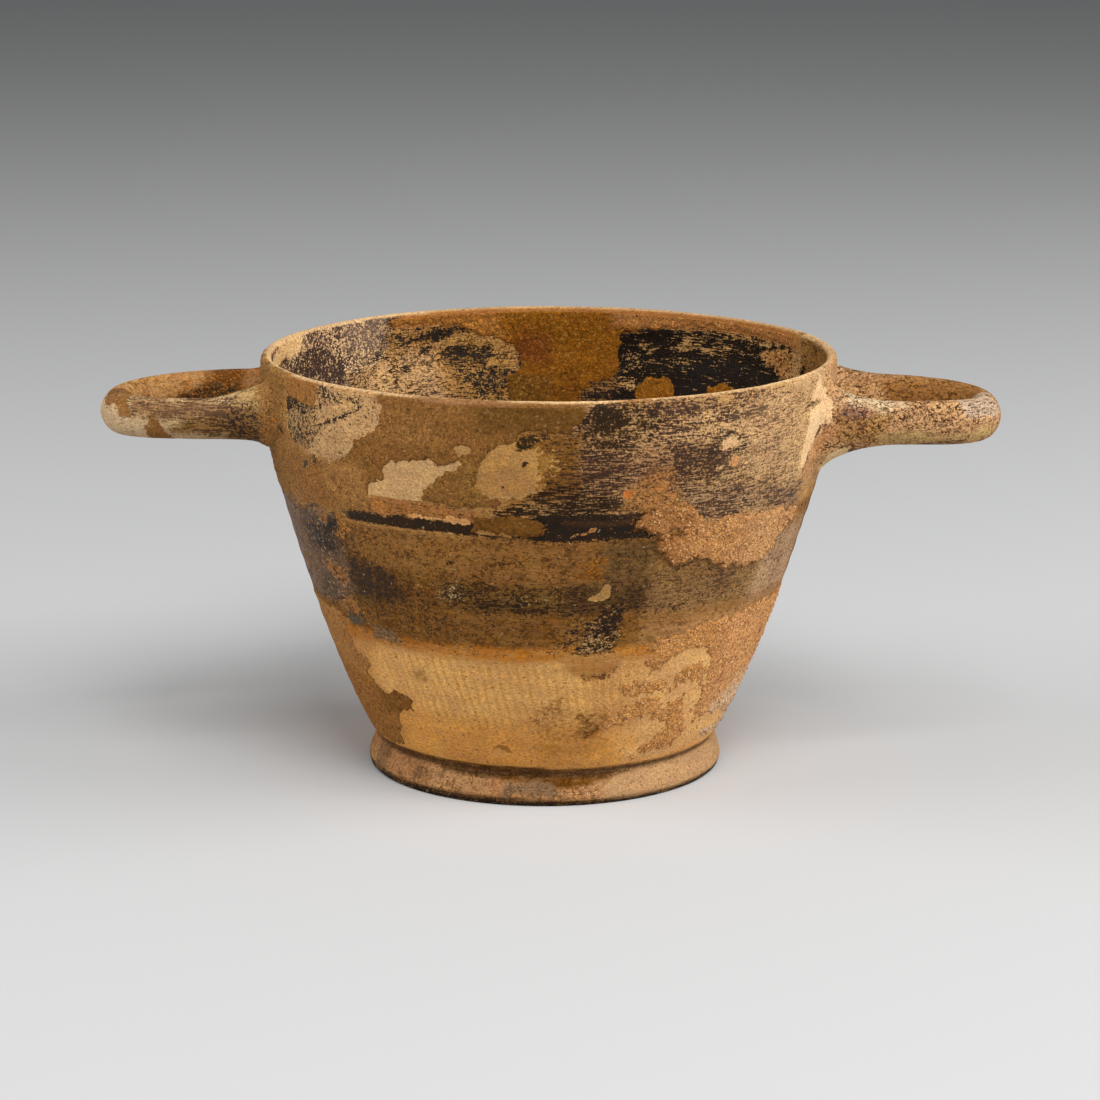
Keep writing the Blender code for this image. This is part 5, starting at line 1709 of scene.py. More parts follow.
@dataclass(frozen=True)
class BurialCrust:
    """Soil that hardened on the cup: dead matt, from smooth silt to coarse sand.

    Attributes:
        name: The material's name.
        grain: Size of its grains in millimetres.
        relief: Height of its grains in millimetres.
        pale: Colour of its lightest grains.
        dark: Colour between its grains.
        pale_share: How many of its grains are pale, 0 to 1.
        dark_share: How many are dark, 0 to 1.
        contrast: How strongly single grains differ from the painted ground, 0 to 1.
        swing: How much lighter and darker the ground is from spot to spot, 0 to 1.
        pits: How dark its pits are, 0 to 1.
    """

    name: str
    grain: float
    relief: float
    pale: str
    dark: str
    pale_share: float
    dark_share: float
    contrast: float
    swing: float
    pits: float
    # Sizes of its patterns in millimetres, the crumbs' in grains, their roughness and what they mostly read.
    cloud_size: float = 6.0
    crumb_grains: float = 2.6
    silt_size: float = 0.46
    pit_size: float = 1.0
    noise_roughness: float = 0.65
    noise_span: Span = (0.3, 0.7)
    # How much each pattern lightens and darkens the ground: the clouds alone, the others as shares of the swing.
    cloud_swing: float = 0.13
    crumb_swing: float = 0.9
    silt_swing: float = 0.55
    # How far dark and pale grains blend into the others, and where pits, pale dust and cracks start and are whole.
    blend: float = 0.03
    pit_span: Span = (0.4, 0.33)
    dust_span: Span = (0.72, 0.8)
    crack_span: Span = (-0.15, -0.175)
    # How far the crumbs bend the cracks, and how high the silt and the ground between pits stand, in millimetres.
    crack_bend: float = -0.35
    silt_height: float = 0.1
    pit_height: float = 0.25
    # How far its hue drifts, and how deep its colour is.
    hue_swing: float = 0.02
    depth: float = 1.01
    roughness: float = 0.95
    ior: float = 1.45
    specular: float = 0.1

    def material(self) -> bpy.types.Material:
        """Builds the finish."""
        material, tree = new_finish(self.name)
        ground = add_node(tree, "ShaderNodeAttribute", attribute_name="ground").outputs["Color"]
        place = add_node(tree, "ShaderNodeTexCoord").outputs["Object"]
        spot = add_node(tree, "ShaderNodeVectorMath", {0: place, 3: 1.0 / MM}, operation="SCALE").outputs[0]
        grain = {}
        for name, size, detail in (
            ("clouds", self.cloud_size, 4.0),
            ("crumbs", self.crumb_grains * self.grain, 4.0),
            ("silt", self.silt_size, 1.0),
            ("pits", self.pit_size, 3.0),
        ):
            noise = {"Vector": spot, "Scale": 1.0 / size, "Detail": detail, "Roughness": self.noise_roughness}
            grain[name] = add_node(tree, "ShaderNodeTexNoise", noise).outputs["Fac"]
        stones = add_node(tree, "ShaderNodeTexVoronoi", {"Vector": spot, "Scale": 1.0 / self.grain}).outputs
        grain["stones"] = stones["Distance"]
        kind = add_node(tree, "ShaderNodeSeparateColor", {0: stones["Color"]}).outputs[0]

        # The ground, lighter and darker in clouds, crumb by crumb and grain by grain.
        shading: object = 1.0
        low, high = self.noise_span
        for name, swing in (
            ("clouds", self.cloud_swing),
            ("crumbs", self.crumb_swing * self.swing),
            ("silt", self.silt_swing * self.swing),
        ):
            span = {"From Min": low, "From Max": high, "To Min": 1.0 - swing, "To Max": 1.0 + swing}
            part = add_node(tree, "ShaderNodeMapRange", {"Value": grain[name], **span}).outputs[0]
            shading = add_node(tree, "ShaderNodeMath", {0: part, 1: shading}, operation="MULTIPLY").outputs[0]
        colour = add_node(tree, "ShaderNodeVectorMath", {0: ground, 3: shading}, operation="SCALE").outputs[0]

        # Over it dark and pale grains, pits, pale dust, and cracks that wind round the crumbs.
        off_middle = add_node(tree, "ShaderNodeMath", {0: grain["pits"], 1: 0.5}, operation="SUBTRACT").outputs[0]
        away = add_node(tree, "ShaderNodeMath", {0: off_middle}, operation="ABSOLUTE").outputs[0]
        crack = weighted_sum(tree, grain, (("crumbs", self.crack_bend),), away)
        dark, pale = self.dark_share, 1.0 - self.pale_share
        for pattern, cover in (
            (kind, Cover(dark + self.blend, dark - self.blend, self.contrast, self.dark)),
            (kind, Cover(pale - self.blend, pale + self.blend, self.contrast, self.pale)),
            (grain["pits"], Cover(*self.pit_span, self.pits, self.dark)),
            (grain["silt"], Cover(*self.dust_span, self.contrast, self.pale)),
            (crack, Cover(*self.crack_span, self.pits, self.dark)),
        ):
            _, colour = cover.lay(tree, pattern, colour)
        hue = weighted_sum(tree, grain, (("clouds", self.hue_swing),), 0.5 - self.hue_swing / 2)
        drift = {"Hue": hue, "Saturation": self.depth, "Color": colour}
        colour = add_node(tree, "ShaderNodeHueSaturation", drift).outputs[0]
        heights = (
            ("crumbs", self.relief),
            ("stones", -self.relief / 2),
            ("silt", self.silt_height),
            ("pits", self.pit_height),
        )
        end_finish(tree, colour, self.roughness, weighted_sum(tree, grain, heights), self.ior, self.specular)
        return material


@dataclass(frozen=True)
class Relief:
    """How the clay's surface departs from the turned shape, in millimetres."""

    grain: Grain = field(default_factory=lambda: Grain(5))
    lump_size: float = 16.0
    lump: float = 0.13
    dent_size: float = 5.0
    dent: float = 0.05
    ridge_pitch: float = 4.6
    ridge: float = 0.045
    # How far the throwing ridges wander, in ridges, and over what distance.
    wander: float = 0.6
    wander_size: float = 30.0

    def at(self, points: np.ndarray) -> np.ndarray:
        """The height of the surface over the turned shape at points of that shape."""
        height = self.lump * self.grain.at(points, self.lump_size)
        height += self.dent * self.grain.at(points, self.dent_size, 2)
        turns = points[:, 2] / self.ridge_pitch + self.wander * self.grain.at(points, self.wander_size)
        return height + self.ridge * np.sin(math.tau * turns)


@dataclass(frozen=True)
class Cup:
    """The vessel with its foot and handles, as one skin of clay."""

    form: CupForm
    relief: Relief
    handles: tuple[Handle, ...]
    # How far from the wall and up to which height the roots' hollows are smoothed, and how many times.
    hollows: tuple[tuple[float, float, int], ...] = ((1.6, 90.0, 10), (3.6, 71.0, 16))
    # Where the roots are: above this height, this far under the lip, this far from the middle and from each limb.
    root_bottom: float = 55.0
    root_top_depth: float = 1.5
    root_from_middle: float = 45.0
    limb_middle: float = 18.0
    limb_half: float = 9.5
    foot_edge: Span = (0.3, 2.0)
    paint_seed: int = 11
    crust_seed: int = 23
    crust_grain: float = 1.4

    def unite(self, vessel: bpy.types.Object) -> bpy.types.Object:
        """Joins the handles to the vessel and removes them."""
        for handle in self.handles:
            strap = handle.build()
            join = vessel.modifiers.new("luting", "BOOLEAN")
            join.operation = "UNION"
            join.solver = "EXACT"
            join.object = strap
            mesh = evaluated(vessel)
            vessel.modifiers.clear()
            vessel.data = mesh
            bpy.data.objects.remove(strap)
        return vessel

    def soften_roots(self, cup: bpy.types.Object) -> None:
        """Rounds the hollow between each root and the wall, as a wet finger does."""
        places = SurfacePoints(self.form, points_of(cup))
        across, deep = np.abs(places.points[:, 0]), np.abs(places.points[:, 1])
        rooted = ~places.inside & (places.height > self.root_bottom)
        rooted &= places.height < self.form.cup_height - self.root_top_depth
        rooted &= (np.abs(deep - self.limb_middle) < self.limb_half) & (across > self.root_from_middle)
        shape = bmesh.new()
        shape.from_mesh(cup.data)
        shape.verts.ensure_lookup_table()
        axes = {"use_axis_x": True, "use_axis_y": True, "use_axis_z": True}
        for reach, top, rounds in self.hollows:
            near = rooted & (np.abs(places.off_wall) < reach) & (places.height < top)
            chosen = [shape.verts[int(number)] for number in np.flatnonzero(near)]
            for _ in range(rounds):
                bmesh.ops.smooth_vert(shape, verts=chosen, factor=0.5, **axes)
        bmesh.ops.triangulate(shape, faces=[face for face in shape.faces if len(face.verts) > 4])
        shape.to_mesh(cup.data)
        shape.free()

    def build(self) -> bpy.types.Object:
        """Makes the cup, gives it its relief and paints it."""
        finish = WornSlipware().material()
        cup = self.unite(Turning(self.form).build("cup", finish))
        self.soften_roots(cup)
        points = points_of(cup)
        paint = Paint(self.paint_seed)
        inside = tuple(replace(layer, side=Side.INSIDE) for layer in INSIDE_LAYERS)
        values = paint.fields(SurfacePoints(self.form, points), OUTSIDE_LAYERS + HANDLE_LAYERS + inside)
        crumbs = 0.5 + 0.5 * Grain(self.crust_seed).at(points, self.crust_grain, 3)
        height = self.relief.at(points) * smooth_step(points[:, 2], *self.foot_edge) + values["crust"] * crumbs
        move_points(cup, points + normals_of(cup) * height[:, None])
        paint.store(cup, values)
        cup.data.materials.clear()
        cup.data.materials.append(finish)
        cup.data.shade_smooth()
        return cup


@dataclass(frozen=True)
class CrustSheet:
    """Crust lying on the wall: a closed sheet with ragged edges, thick in the middle of its patches.

    Attributes:
        name: The piece's name.
        finish: What it looks like.
        covers: The patches that it covers.
        bare: Patches within them that it has fallen from.
        tints: Places where its colour differs.
        ground: Its colour elsewhere.
        thickness: Millimetres that it stands over the clay.
        edge: Millimetres over which its edge rises.
        ragged: Millimetres that its edge wanders.
        ragged_size: Size of that wandering in millimetres.
        crumbs: Height of its crumbs in millimetres.
        crumb_size: Size of its crumbs in millimetres.
        rim: How light its ground is at its edge, 0 to 1: painted shade along its raised edge.
        buried: Millimetres that its lower face lies under the clay.
        cell: Spacing of its mesh in millimetres.
        side: The face of the wall that it lies on.
        seed: Start of its random shapes.
        grit: Loose grains of sand on it for each square millimetre.
        margin: How far its mesh reaches past its patches, in degrees and in millimetres.
        middle_radius: The wall's radius that its mesh is spaced for, in millimetres.
        swelling: How much thicker and thinner it is from place to place, 0 to 1.
        swelling_size: Size of those places in millimetres.
        edge_start: Where its edge starts to rise, in millimetres past its outline.
        sunk: Millimetres that its face lies under the clay beyond its edge.
        kept_beyond: How far past its outline its mesh is kept, in millimetres.
        rim_span: Where its painted edge shade ends and its full tone starts, in millimetres inside its edge.
        grit_span: Where grains start to lie and where they lie as close as they do, in millimetres inside its edge.
    """

    name: str
    finish: BurialCrust
    covers: tuple[Patch, ...]
    bare: tuple[Patch, ...] = ()
    tints: tuple[Patch, ...] = ()
    ground: str = "#86664a"
    thickness: float = 0.3
    edge: float = 0.5
    ragged: float = 0.7
    ragged_size: float = 3.0
    crumbs: float = 0.06
    crumb_size: float = 0.9
    rim: float = 0.85
    cell: float = 0.3
    buried: float = 0.35
    side: Side = Side.OUTSIDE
    seed: int = 1
    grit: float = 0.0
    margin: float = 3.0
    middle_radius: float = 56.0
    swelling: float = 0.35
    swelling_size: float = 6.0
    edge_start: float = -0.15
    sunk: float = 0.12
    kept_beyond: float = 0.45
    rim_span: Span = (-0.1, 0.7)
    grit_span: Span = (0.1, 0.6)

    def grid(self) -> tuple[np.ndarray, np.ndarray]:
        """The azimuths and heights of the sheet's mesh."""
        corners = np.array([corner for patch in self.covers for corner in patch.outline], dtype=float)
        low, high = corners.min(axis=0) - self.margin, corners.max(axis=0) + self.margin
        azimuths = np.arange(low[0], high[0], math.degrees(self.cell / self.middle_radius))
        return np.meshgrid(azimuths, np.arange(low[1], high[1], self.cell), indexing="ij")

    def field(self, places: SurfacePoints, grain: Grain) -> np.ndarray:
        """Millimetres inside the crust's ragged edge, negative where the clay is bare."""
        inside = np.full(len(places.points), -np.inf)
        for patch in self.covers:
            inside = np.maximum(inside, patch.distance(places))
        for patch in self.bare:
            inside = np.minimum(inside, -patch.distance(places))
        return inside + self.ragged * grain.at(places.points, self.ragged_size, 4)

    def build(self, form: CupForm, relief: Relief, top: float) -> bpy.types.Object:
        """Makes the sheet.

        Args:
            form: The cup's turned shape.
            relief: The clay's own relief, which the sheet follows.
            top: The height that the sheet stops at, just under the lip's rounding.

        Returns:
            The dressed piece.
        """
        azimuths, heights = self.grid()
        flat_heights = np.minimum(heights.ravel(), top)
        radius_at = form.inside_radius if self.side is Side.INSIDE else form.outside_radius
        base = form.place(azimuths.ravel(), radius_at(flat_heights), flat_heights)
        grain = Grain(self.seed)
        depth = self.field(SurfacePoints(form, base), grain)
        rise = smooth_step(depth, self.edge_start, self.edge)
        crumbs = self.crumbs * grain.at(base, self.crumb_size, 3)
        thickness = self.thickness * (1.0 + self.swelling * grain.at(base, self.swelling_size, 2))
        above = rise * (thickness + crumbs) - self.sunk * (1.0 - rise)
        outward = self.outward(azimuths.ravel(), radius_at(flat_heights + 0.5) - radius_at(flat_heights - 0.5))
        upper = base + outward * (relief.at(base) + above)[:, None]
        lower = base - outward * self.buried
        number = np.arange(heights.size).reshape(heights.shape)
        corners = np.stack([number[:-1, :-1], number[1:, :-1], number[1:, 1:], number[:-1, 1:]], axis=-1)
        corners = corners.reshape(-1, 4)
        room = (heights.ravel() <= top + self.cell)[corners].all(axis=1)
        kept = corners[(depth[corners] > -self.kept_beyond).any(axis=1) & room]
        return self.closed(form, upper, lower, kept, depth)

    def outward(self, azimuths: np.ndarray, slope: np.ndarray) -> np.ndarray:
        """Directions square to the wall and away from it, where its radius grows by the slope over a millimetre."""
        turn = np.radians(azimuths)
        away = np.stack([np.sin(turn), -np.cos(turn), -slope], axis=1) / np.hypot(1.0, slope)[:, None]
        return -away if self.side is Side.INSIDE else away

    def closed(
        self, form: CupForm, upper: np.ndarray, lower: np.ndarray, kept: np.ndarray, depth: np.ndarray
    ) -> bpy.types.Object:
        """Joins the upper and lower faces along their edges, drops unused points and paints the piece."""
        count = len(upper)
        edges: dict[tuple[int, int], None] = {}
        for quad in kept.tolist():
            for start, end in zip(quad, quad[1:] + quad[:1]):
                if (end, start) in edges:
                    del edges[end, start]
                else:
                    edges[start, end] = None
        sides = [(end, start, start + count, end + count) for start, end in edges]
        faces = np.vstack([kept, kept[:, ::-1] + count, np.array(sides)])
        used, renumbered = np.unique(faces, return_inverse=True)
        points = np.vstack([upper, lower])[used]
        inward = np.tile(depth, 2)[used]
        piece = new_mesh(self.name, points, renumbered.reshape(faces.shape))
        face_outward(piece)
        paint = Paint(self.seed, replace(Paint.BASE, ground=self.ground))
        tints = tuple(replace(tint, side=self.side) for tint in self.tints)
        ground = paint.fields(SurfacePoints(form, points), tints)["ground"]
        # Painted shade: the ground darkens towards the crust's edge, as a shadow along its raised rim.
        ground *= (self.rim + (1.0 - self.rim) * smooth_step(inward, *self.rim_span))[:, None]
        upper_face = np.where(used < count, smooth_step(inward, *self.grit_span), 0.0)
        paint.store(piece, {"ground": ground, "upper": upper_face})
        piece.data.materials.append(self.finish.material())
        piece.data.shade_smooth()
        return piece


SILT = BurialCrust(
    "smooth brown burial silt",
    grain=0.5,
    relief=0.1,
    pale="#b08a5c",
    dark="#4a3014",
    pale_share=0.03,
    dark_share=0.06,
    contrast=0.3,
    swing=0.5,
    pits=0.8,
)
SAND = BurialCrust(
    "coarse sandy burial crust",
    grain=0.42,
    relief=0.3,
    pale="#d8ab78",
    dark="#6a4222",
    pale_share=0.12,
    dark_share=0.16,
    contrast=0.42,
    swing=0.5,
    pits=0.7,
)
SOIL = BurialCrust(
    "granular orange-brown soil",
    grain=0.45,
    relief=0.2,
    pale="#b88a48",
    dark="#432808",
    pale_share=0.06,
    dark_share=0.1,
    contrast=0.35,
    swing=0.66,
    pits=0.65,
)

CRUSTS: tuple[CrustSheet, ...] = (
    CrustSheet(
        name="brown_silt",
        finish=SILT,
        covers=(
            Patch(((-33, 90), (-33.3, 82), (-36, 79.4), (-39, 78), (-41, 75.5), (-46, 72.3), (-50, 71), (-52, 66),
                   (-49, 63.4), (-44, 63.2), (-38.2, 63.8), (-37.5, 69), (-35, 70.5), (-33.5, 71), (-33, 73.5),
                   (-31.5, 75), (-28, 75), (-25, 76), (-22, 75.5), (-20.5, 74.5), (-17.5, 76), (-16, 75.5),
                   (-17.5, 74), (-20, 73.5), (-22, 71.5), (-24, 70), (-25, 67.8), (-20, 66.8), (-10, 66.6),
                   (-9, 68.2), (-12.5, 69.2), (-14, 72), (-13.2, 75), (-12, 77.5), (-9.5, 79.6), (-6.5, 80.2),
                   (-5.5, 82), (-2, 82.6), (3, 82), (6, 84), (8, 90))),
            Patch(((-62, 90), (-61.5, 84.3), (-58, 83.8), (-55, 83.3), (-51.5, 83.2), (-50.4, 85), (-50.6, 90))),
            Patch(((-15, 61.6), (-14.6, 64.4), (-10, 65), (-4, 64.8), (-1, 63.6), (-0.6, 61.2), (-4, 60.8),
                   (-9, 61.2))),
        ),
        bare=(
            Patch(((-17.8, 78.6), (-15.4, 79.6), (-14.6, 78.4), (-15.2, 77.2), (-17.4, 77.6))),
            Patch(((-35.6, 67.4), (-31, 67.8), (-25, 68), (-24, 70), (-22, 71.5), (-20, 73.5), (-20.6, 74.3),
                   (-28, 74.6), (-31.2, 74.6), (-33, 73), (-33.5, 71), (-35.2, 70), (-37, 68.6))),
        ),
        tints=(
            Patch(((-14, 82), (-14, 90), (10, 90), (10, 80)), Tone(ground="#67451d"), soft=8.0),
            Patch(((-64, 80), (-64, 90), (-49, 90), (-49, 80)), Tone(ground="#956535")),
            Patch(((-16, 60), (-16, 66), (0, 66), (0, 60)), Tone(ground="#71491d")),
            Patch(((-25, 66), (-22, 74), (-12, 78), (-12, 66)), Tone(ground="#875e2f"), soft=4.0),
            Patch(((-36, 78), (-34, 86), (-22, 86), (-20, 80), (-28, 77)), Tone(ground="#865c30"), soft=6.0),
            Patch(((-54, 62), (-54, 73), (-38, 73), (-38, 62)), Tone(ground="#9c6e3d"), soft=3.0),
        ),
        ground="#83582c",
        thickness=0.2,
        edge=0.3,
        ragged=0.7,
        ragged_size=1.2,
        crumbs=0.03,
        rim=0.8,
        seed=31,
    ),
    CrustSheet(
        name="left_silt",
        finish=SILT,
        covers=(
            Patch(((-82, 8.6), (-52, 8.6), (-50, 10), (-51, 12), (-48, 14), (-47, 16.6), (-44, 18), (-40, 19),
                   (-39.4, 21), (-41, 22.4), (-45, 22.6), (-50, 22), (-53, 23.6), (-55, 25.4), (-52, 26.6), (-51, 28),
                   (-53, 29.2), (-56, 30.2), (-58, 33), (-58, 35.6), (-54, 36.4), (-60, 38.4), (-80, 39), (-86, 36),
                   (-95, 35), (-98, 31), (-91, 28), (-99, 24), (-104, 19), (-96, 15), (-88, 13))),
        ),
        tints=(
            Patch(((-98, 6), (-98, 26), (-50, 25), (-46, 16), (-48, 6)), Tone(ground="#916130"), soft=5.0),
            Patch(((-52, 17), (-52, 24), (-38, 24), (-38, 17)), Tone(ground="#7a4f22"), soft=4.0),
        ),
        ground="#9d6d3d",
        thickness=0.1,
        edge=0.35,
        ragged=0.8,
        ragged_size=1.9,
        crumbs=0.05,
        rim=0.84,
        seed=37,
    ),
    CrustSheet(
        name="sandy_crust",
        finish=SAND,
        covers=(
            Patch(((17, 63), (19.5, 65), (22, 66.6), (27, 66.6), (30, 65.6), (32, 63.2), (34, 60.6), (36, 61),
                   (38, 62), (42, 62.6), (47, 61.2), (54, 61.2), (60, 60.2), (64, 60), (66, 58), (62, 57), (59, 54.6),
                   (57, 52), (52, 50.2), (47, 50.2), (44, 51.4), (40, 52), (36, 53), (32, 54.2), (27, 53.6),
                   (24.5, 55), (23, 57.2), (24, 59.2), (22, 61), (19.5, 61.4))),
            Patch(((200, 38), (204, 44), (214, 47), (226, 45), (232, 40), (222, 36), (208, 35))),
        ),
        bare=(
            Patch(((25.0, 60.4), (28.6, 61.4), (28.4, 59.8), (26, 59.4))),
        ),
        tints=(
            Patch(((14, 55), (14, 70), (31, 70), (28, 52)), Tone(ground="#9b683a"), soft=6.0),
            Patch(((44, 49), (44, 63), (66, 63), (66, 49)), Tone(ground="#bb8a5b"), soft=8.0),
        ),
        ground="#b17d4b",
        thickness=0.6,
        edge=0.3,
        ragged=1.0,
        ragged_size=1.4,
        crumbs=0.18,
        crumb_size=0.8,
        rim=0.72,
        cell=0.25,
        seed=41,
        grit=0.7,
    ),
    CrustSheet(
        name="right_crust",
        finish=SAND,
        covers=(
            Patch(((25.5, 30.5), (25.2, 36.2), (30, 37.4), (40, 38.6), (55, 39.8), (78, 40), (98, 36), (98, 12),
                   (80, 9), (66, 9.4), (58, 11), (52, 14), (48, 17), (47, 22), (46.6, 27), (46, 30), (43, 33.6),
                   (36, 33.4), (32, 31.6), (29, 29.6))),
            Patch(((32.5, 25.4), (35, 27.4), (38, 29), (42, 30.6), (44.4, 29.6), (47, 28.4), (47, 23.6), (44, 25),
                   (41, 26.2), (37, 24.6))),
            Patch(((23.6, 24.4), (25, 27.4), (28, 27.4), (32, 27), (33, 25.2), (29, 23.8), (27, 23.4))),
            Patch(((20, 25.4), (20.6, 27.8), (23.4, 27.4), (23.6, 25.2))),
            Patch(((17.2, 17.4), (17.6, 19.8), (22, 21.8), (25.4, 23.6), (29, 24.4), (31.8, 23), (34, 21), (37, 22.4),
                   (40.4, 23), (42, 20.4), (40.8, 17.2), (36, 17.4), (33, 18.2), (29, 19.2), (24, 18.6))),
            Patch(((36.6, 18.2), (41, 19), (46.4, 17.8), (45.6, 14), (42.4, 11), (38, 10), (33, 9.4), (27.6, 9.6),
                   (31, 12.2), (36, 13.4), (38, 14.8))),
            Patch(((96, 20), (100, 30), (118, 33), (128, 26), (116, 18))),
        ),
        bare=(
            Patch(((52, 11), (54, 16), (66, 15), (72, 11))),
        ),
        tints=(
            Patch(((48, 8), (48, 42), (100, 42), (100, 8)), Tone(ground="#c28b58"), soft=10.0),
            Patch(((54, 6), (56, 18), (66, 22), (100, 24), (100, 6)), Tone(ground="#cead89"), soft=6.0),
        ),
        ground="#bb834b",
        thickness=0.17,
        edge=0.35,
        ragged=1.6,
        ragged_size=1.5,
        crumbs=0.1,
        crumb_size=0.8,
        rim=0.85,
        seed=43,
        grit=0.5,
    ),
    CrustSheet(
        name="inside_soil",
        finish=SOIL,
        covers=(
            Patch(((112, 84.6), (122, 84.9), (133, 85.8), (143, 85.3), (152, 84.6), (160, 83.2), (163.6, 82.4),
                   (164, 78), (163.6, 75), (165, 72.6), (170, 71), (173, 68), (169, 61), (173, 55), (171, 49),
                   (178, 44), (184, 47), (187, 55), (191, 60), (189, 69), (190, 72), (187.4, 74), (186, 76),
                   (188, 79.4), (191, 81.5), (196, 82), (200, 84.3), (205, 84.9), (212, 85.6), (218, 86), (219, 90),
                   (113, 90))),
            Patch(tuple((154.4 + 5.1 * math.cos(turn), 69.6 + 4.0 * math.sin(turn))
                        for turn in np.linspace(0, 6.0, 18))),
            Patch(((133, 72.6), (134.6, 73.8), (138, 73.4), (141, 71.6), (141, 69.4), (134, 69.4))),
        ),
        tints=(
            Patch(((179, 75), (180, 82), (187, 82), (188, 76)), Tone(ground="#713d18"), soft=4.0),
            Patch(((178, 64), (179, 73), (190, 73), (191, 64)), Tone(ground="#6a4418"), soft=2.0),
            Patch(((149, 65), (149, 74), (160, 74), (160, 65)), Tone(ground="#8e581a")),
            Patch(((112, 84), (112, 90), (166, 90), (166, 84)), Tone(ground="#a66e3d"), soft=3.0),
            Patch(((190, 80), (192, 90), (222, 90), (222, 84), (205, 82)), Tone(ground="#9a632c"), soft=3.0),
            Patch(((164, 48), (166, 72), (178, 72), (190, 48)), Tone(ground="#784a15"), soft=6.0),
        ),
        ground="#865216",
        thickness=0.18,
        edge=0.4,
        ragged=0.9,
        ragged_size=1.4,
        crumbs=0.14,
        rim=0.85,
        cell=0.36,
        side=Side.INSIDE,
        seed=47,
    ),
)


@dataclass(frozen=True)
class SandGrains:
    """Loose grains of sand caught in a crust, as small lumpy stones set into its surface.

    Attributes:
        name: The piece's name.
        per_square_mm: How many grains lie on a square millimetre.
        smallest: Radius of the smallest grain in millimetres.
        largest: Radius of the largest grain in millimetres.
        seed: Start of their random places, sizes and turns.
        tint: Colour of most grains.
        other_tints: The other colours, each with where the pattern of tints has it.
        tints_per_mm: How often that pattern changes over a millimetre.
        tint_detail: How much finer detail it has.
        roughness: The grains' roughness.
        ior: Their index of refraction.
    """

    name: str
    per_square_mm: float
    smallest: float = 0.12
    largest: float = 0.3
    seed: int = 3
    tint: str = "#a8743f"
    tints_per_mm: float = 0.9
    other_tints: tuple[Cover, ...] = (
        Cover(0.5, 0.56, tint="#c08f5a"),
        Cover(0.66, 0.7, tint="#d3b183"),
        Cover(0.44, 0.4, tint="#7a4f2c"),
    )
    tint_detail: float = 2.0
    roughness: float = 0.7
    ior: float = 1.5

    def material(self) -> bpy.types.Material:
        """Quartz and brick-coloured grit: dull, and a different tint from grain to grain."""
        material, tree = new_finish("quartz and brick grit")
        place = add_node(tree, "ShaderNodeTexCoord").outputs["Object"]
        spot = add_node(tree, "ShaderNodeVectorMath", {0: place, 3: 1.0 / MM}, operation="SCALE").outputs[0]
        kind = {"Vector": spot, "Scale": self.tints_per_mm, "Detail": self.tint_detail}
        kinds = add_node(tree, "ShaderNodeTexNoise", kind).outputs["Fac"]
        colour: object = linear(self.tint)
        for cover in self.other_tints:
            _, colour = cover.lay(tree, kinds, colour)
        look = {"Base Color": colour, "Roughness": self.roughness, "IOR": self.ior}
        shader = add_node(tree, "ShaderNodeBsdfPrincipled", look).outputs[0]
        add_node(tree, "ShaderNodeOutputMaterial", {"Surface": shader})
        return material

    @staticmethod
    def tree() -> Tree:
        """The node tree that scatters the grains over a crust's upper face."""
        inputs = {"Density": "Float", "Smallest": "Float", "Largest": "Float", "Seed": "Int"}
        tree, given = new_shaper("scattered sand", inputs)
        upper = add_node(tree, "GeometryNodeInputNamedAttribute", {"Name": "upper"}, data_type="FLOAT").outputs[0]
        density = add_node(tree, "ShaderNodeMath", {0: upper, 1: given["Density"]}, operation="MULTIPLY").outputs[0]
        over = {"Mesh": given["Geometry"], "Density": density, "Seed": given["Seed"]}
        spread = add_node(tree, "GeometryNodeDistributePointsOnFaces", over).outputs["Points"]
        grain = add_node(tree, "GeometryNodeMeshIcoSphere", {"Radius": 1.0, "Subdivisions": 1}).outputs["Mesh"]
        sizes = {2: given["Smallest"], 3: given["Largest"], "Seed": given["Seed"]}
        size = add_node(tree, "FunctionNodeRandomValue", sizes, data_type="FLOAT").outputs[1]
        turns = {0: (0.0, 0.0, 0.0), 1: (math.tau, math.tau, math.tau), "Seed": given["Seed"]}
        tilt = add_node(tree, "FunctionNodeRandomValue", turns, data_type="FLOAT_VECTOR").outputs[0]
        each = {"Points": spread, "Instance": grain, "Rotation": tilt, "Scale": size}
        grains = add_node(tree, "GeometryNodeInstanceOnPoints", each).outputs[0]
        end_shaper(tree, grains, given["Finish"])
        return tree

    def build(self, host: bpy.types.Object) -> bpy.types.Object:
        """Scatters the grains over a crust."""
        item = bpy.data.objects.new(self.name, host.data.copy())
        bpy.context.scene.collection.objects.link(item)
        values = {
            "Density": self.per_square_mm / MM**2,
            "Smallest": self.smallest * MM,
            "Largest": self.largest * MM,
            "Seed": self.seed,
            "Finish": self.material(),
        }
        return shaped(item, self.tree(), values)


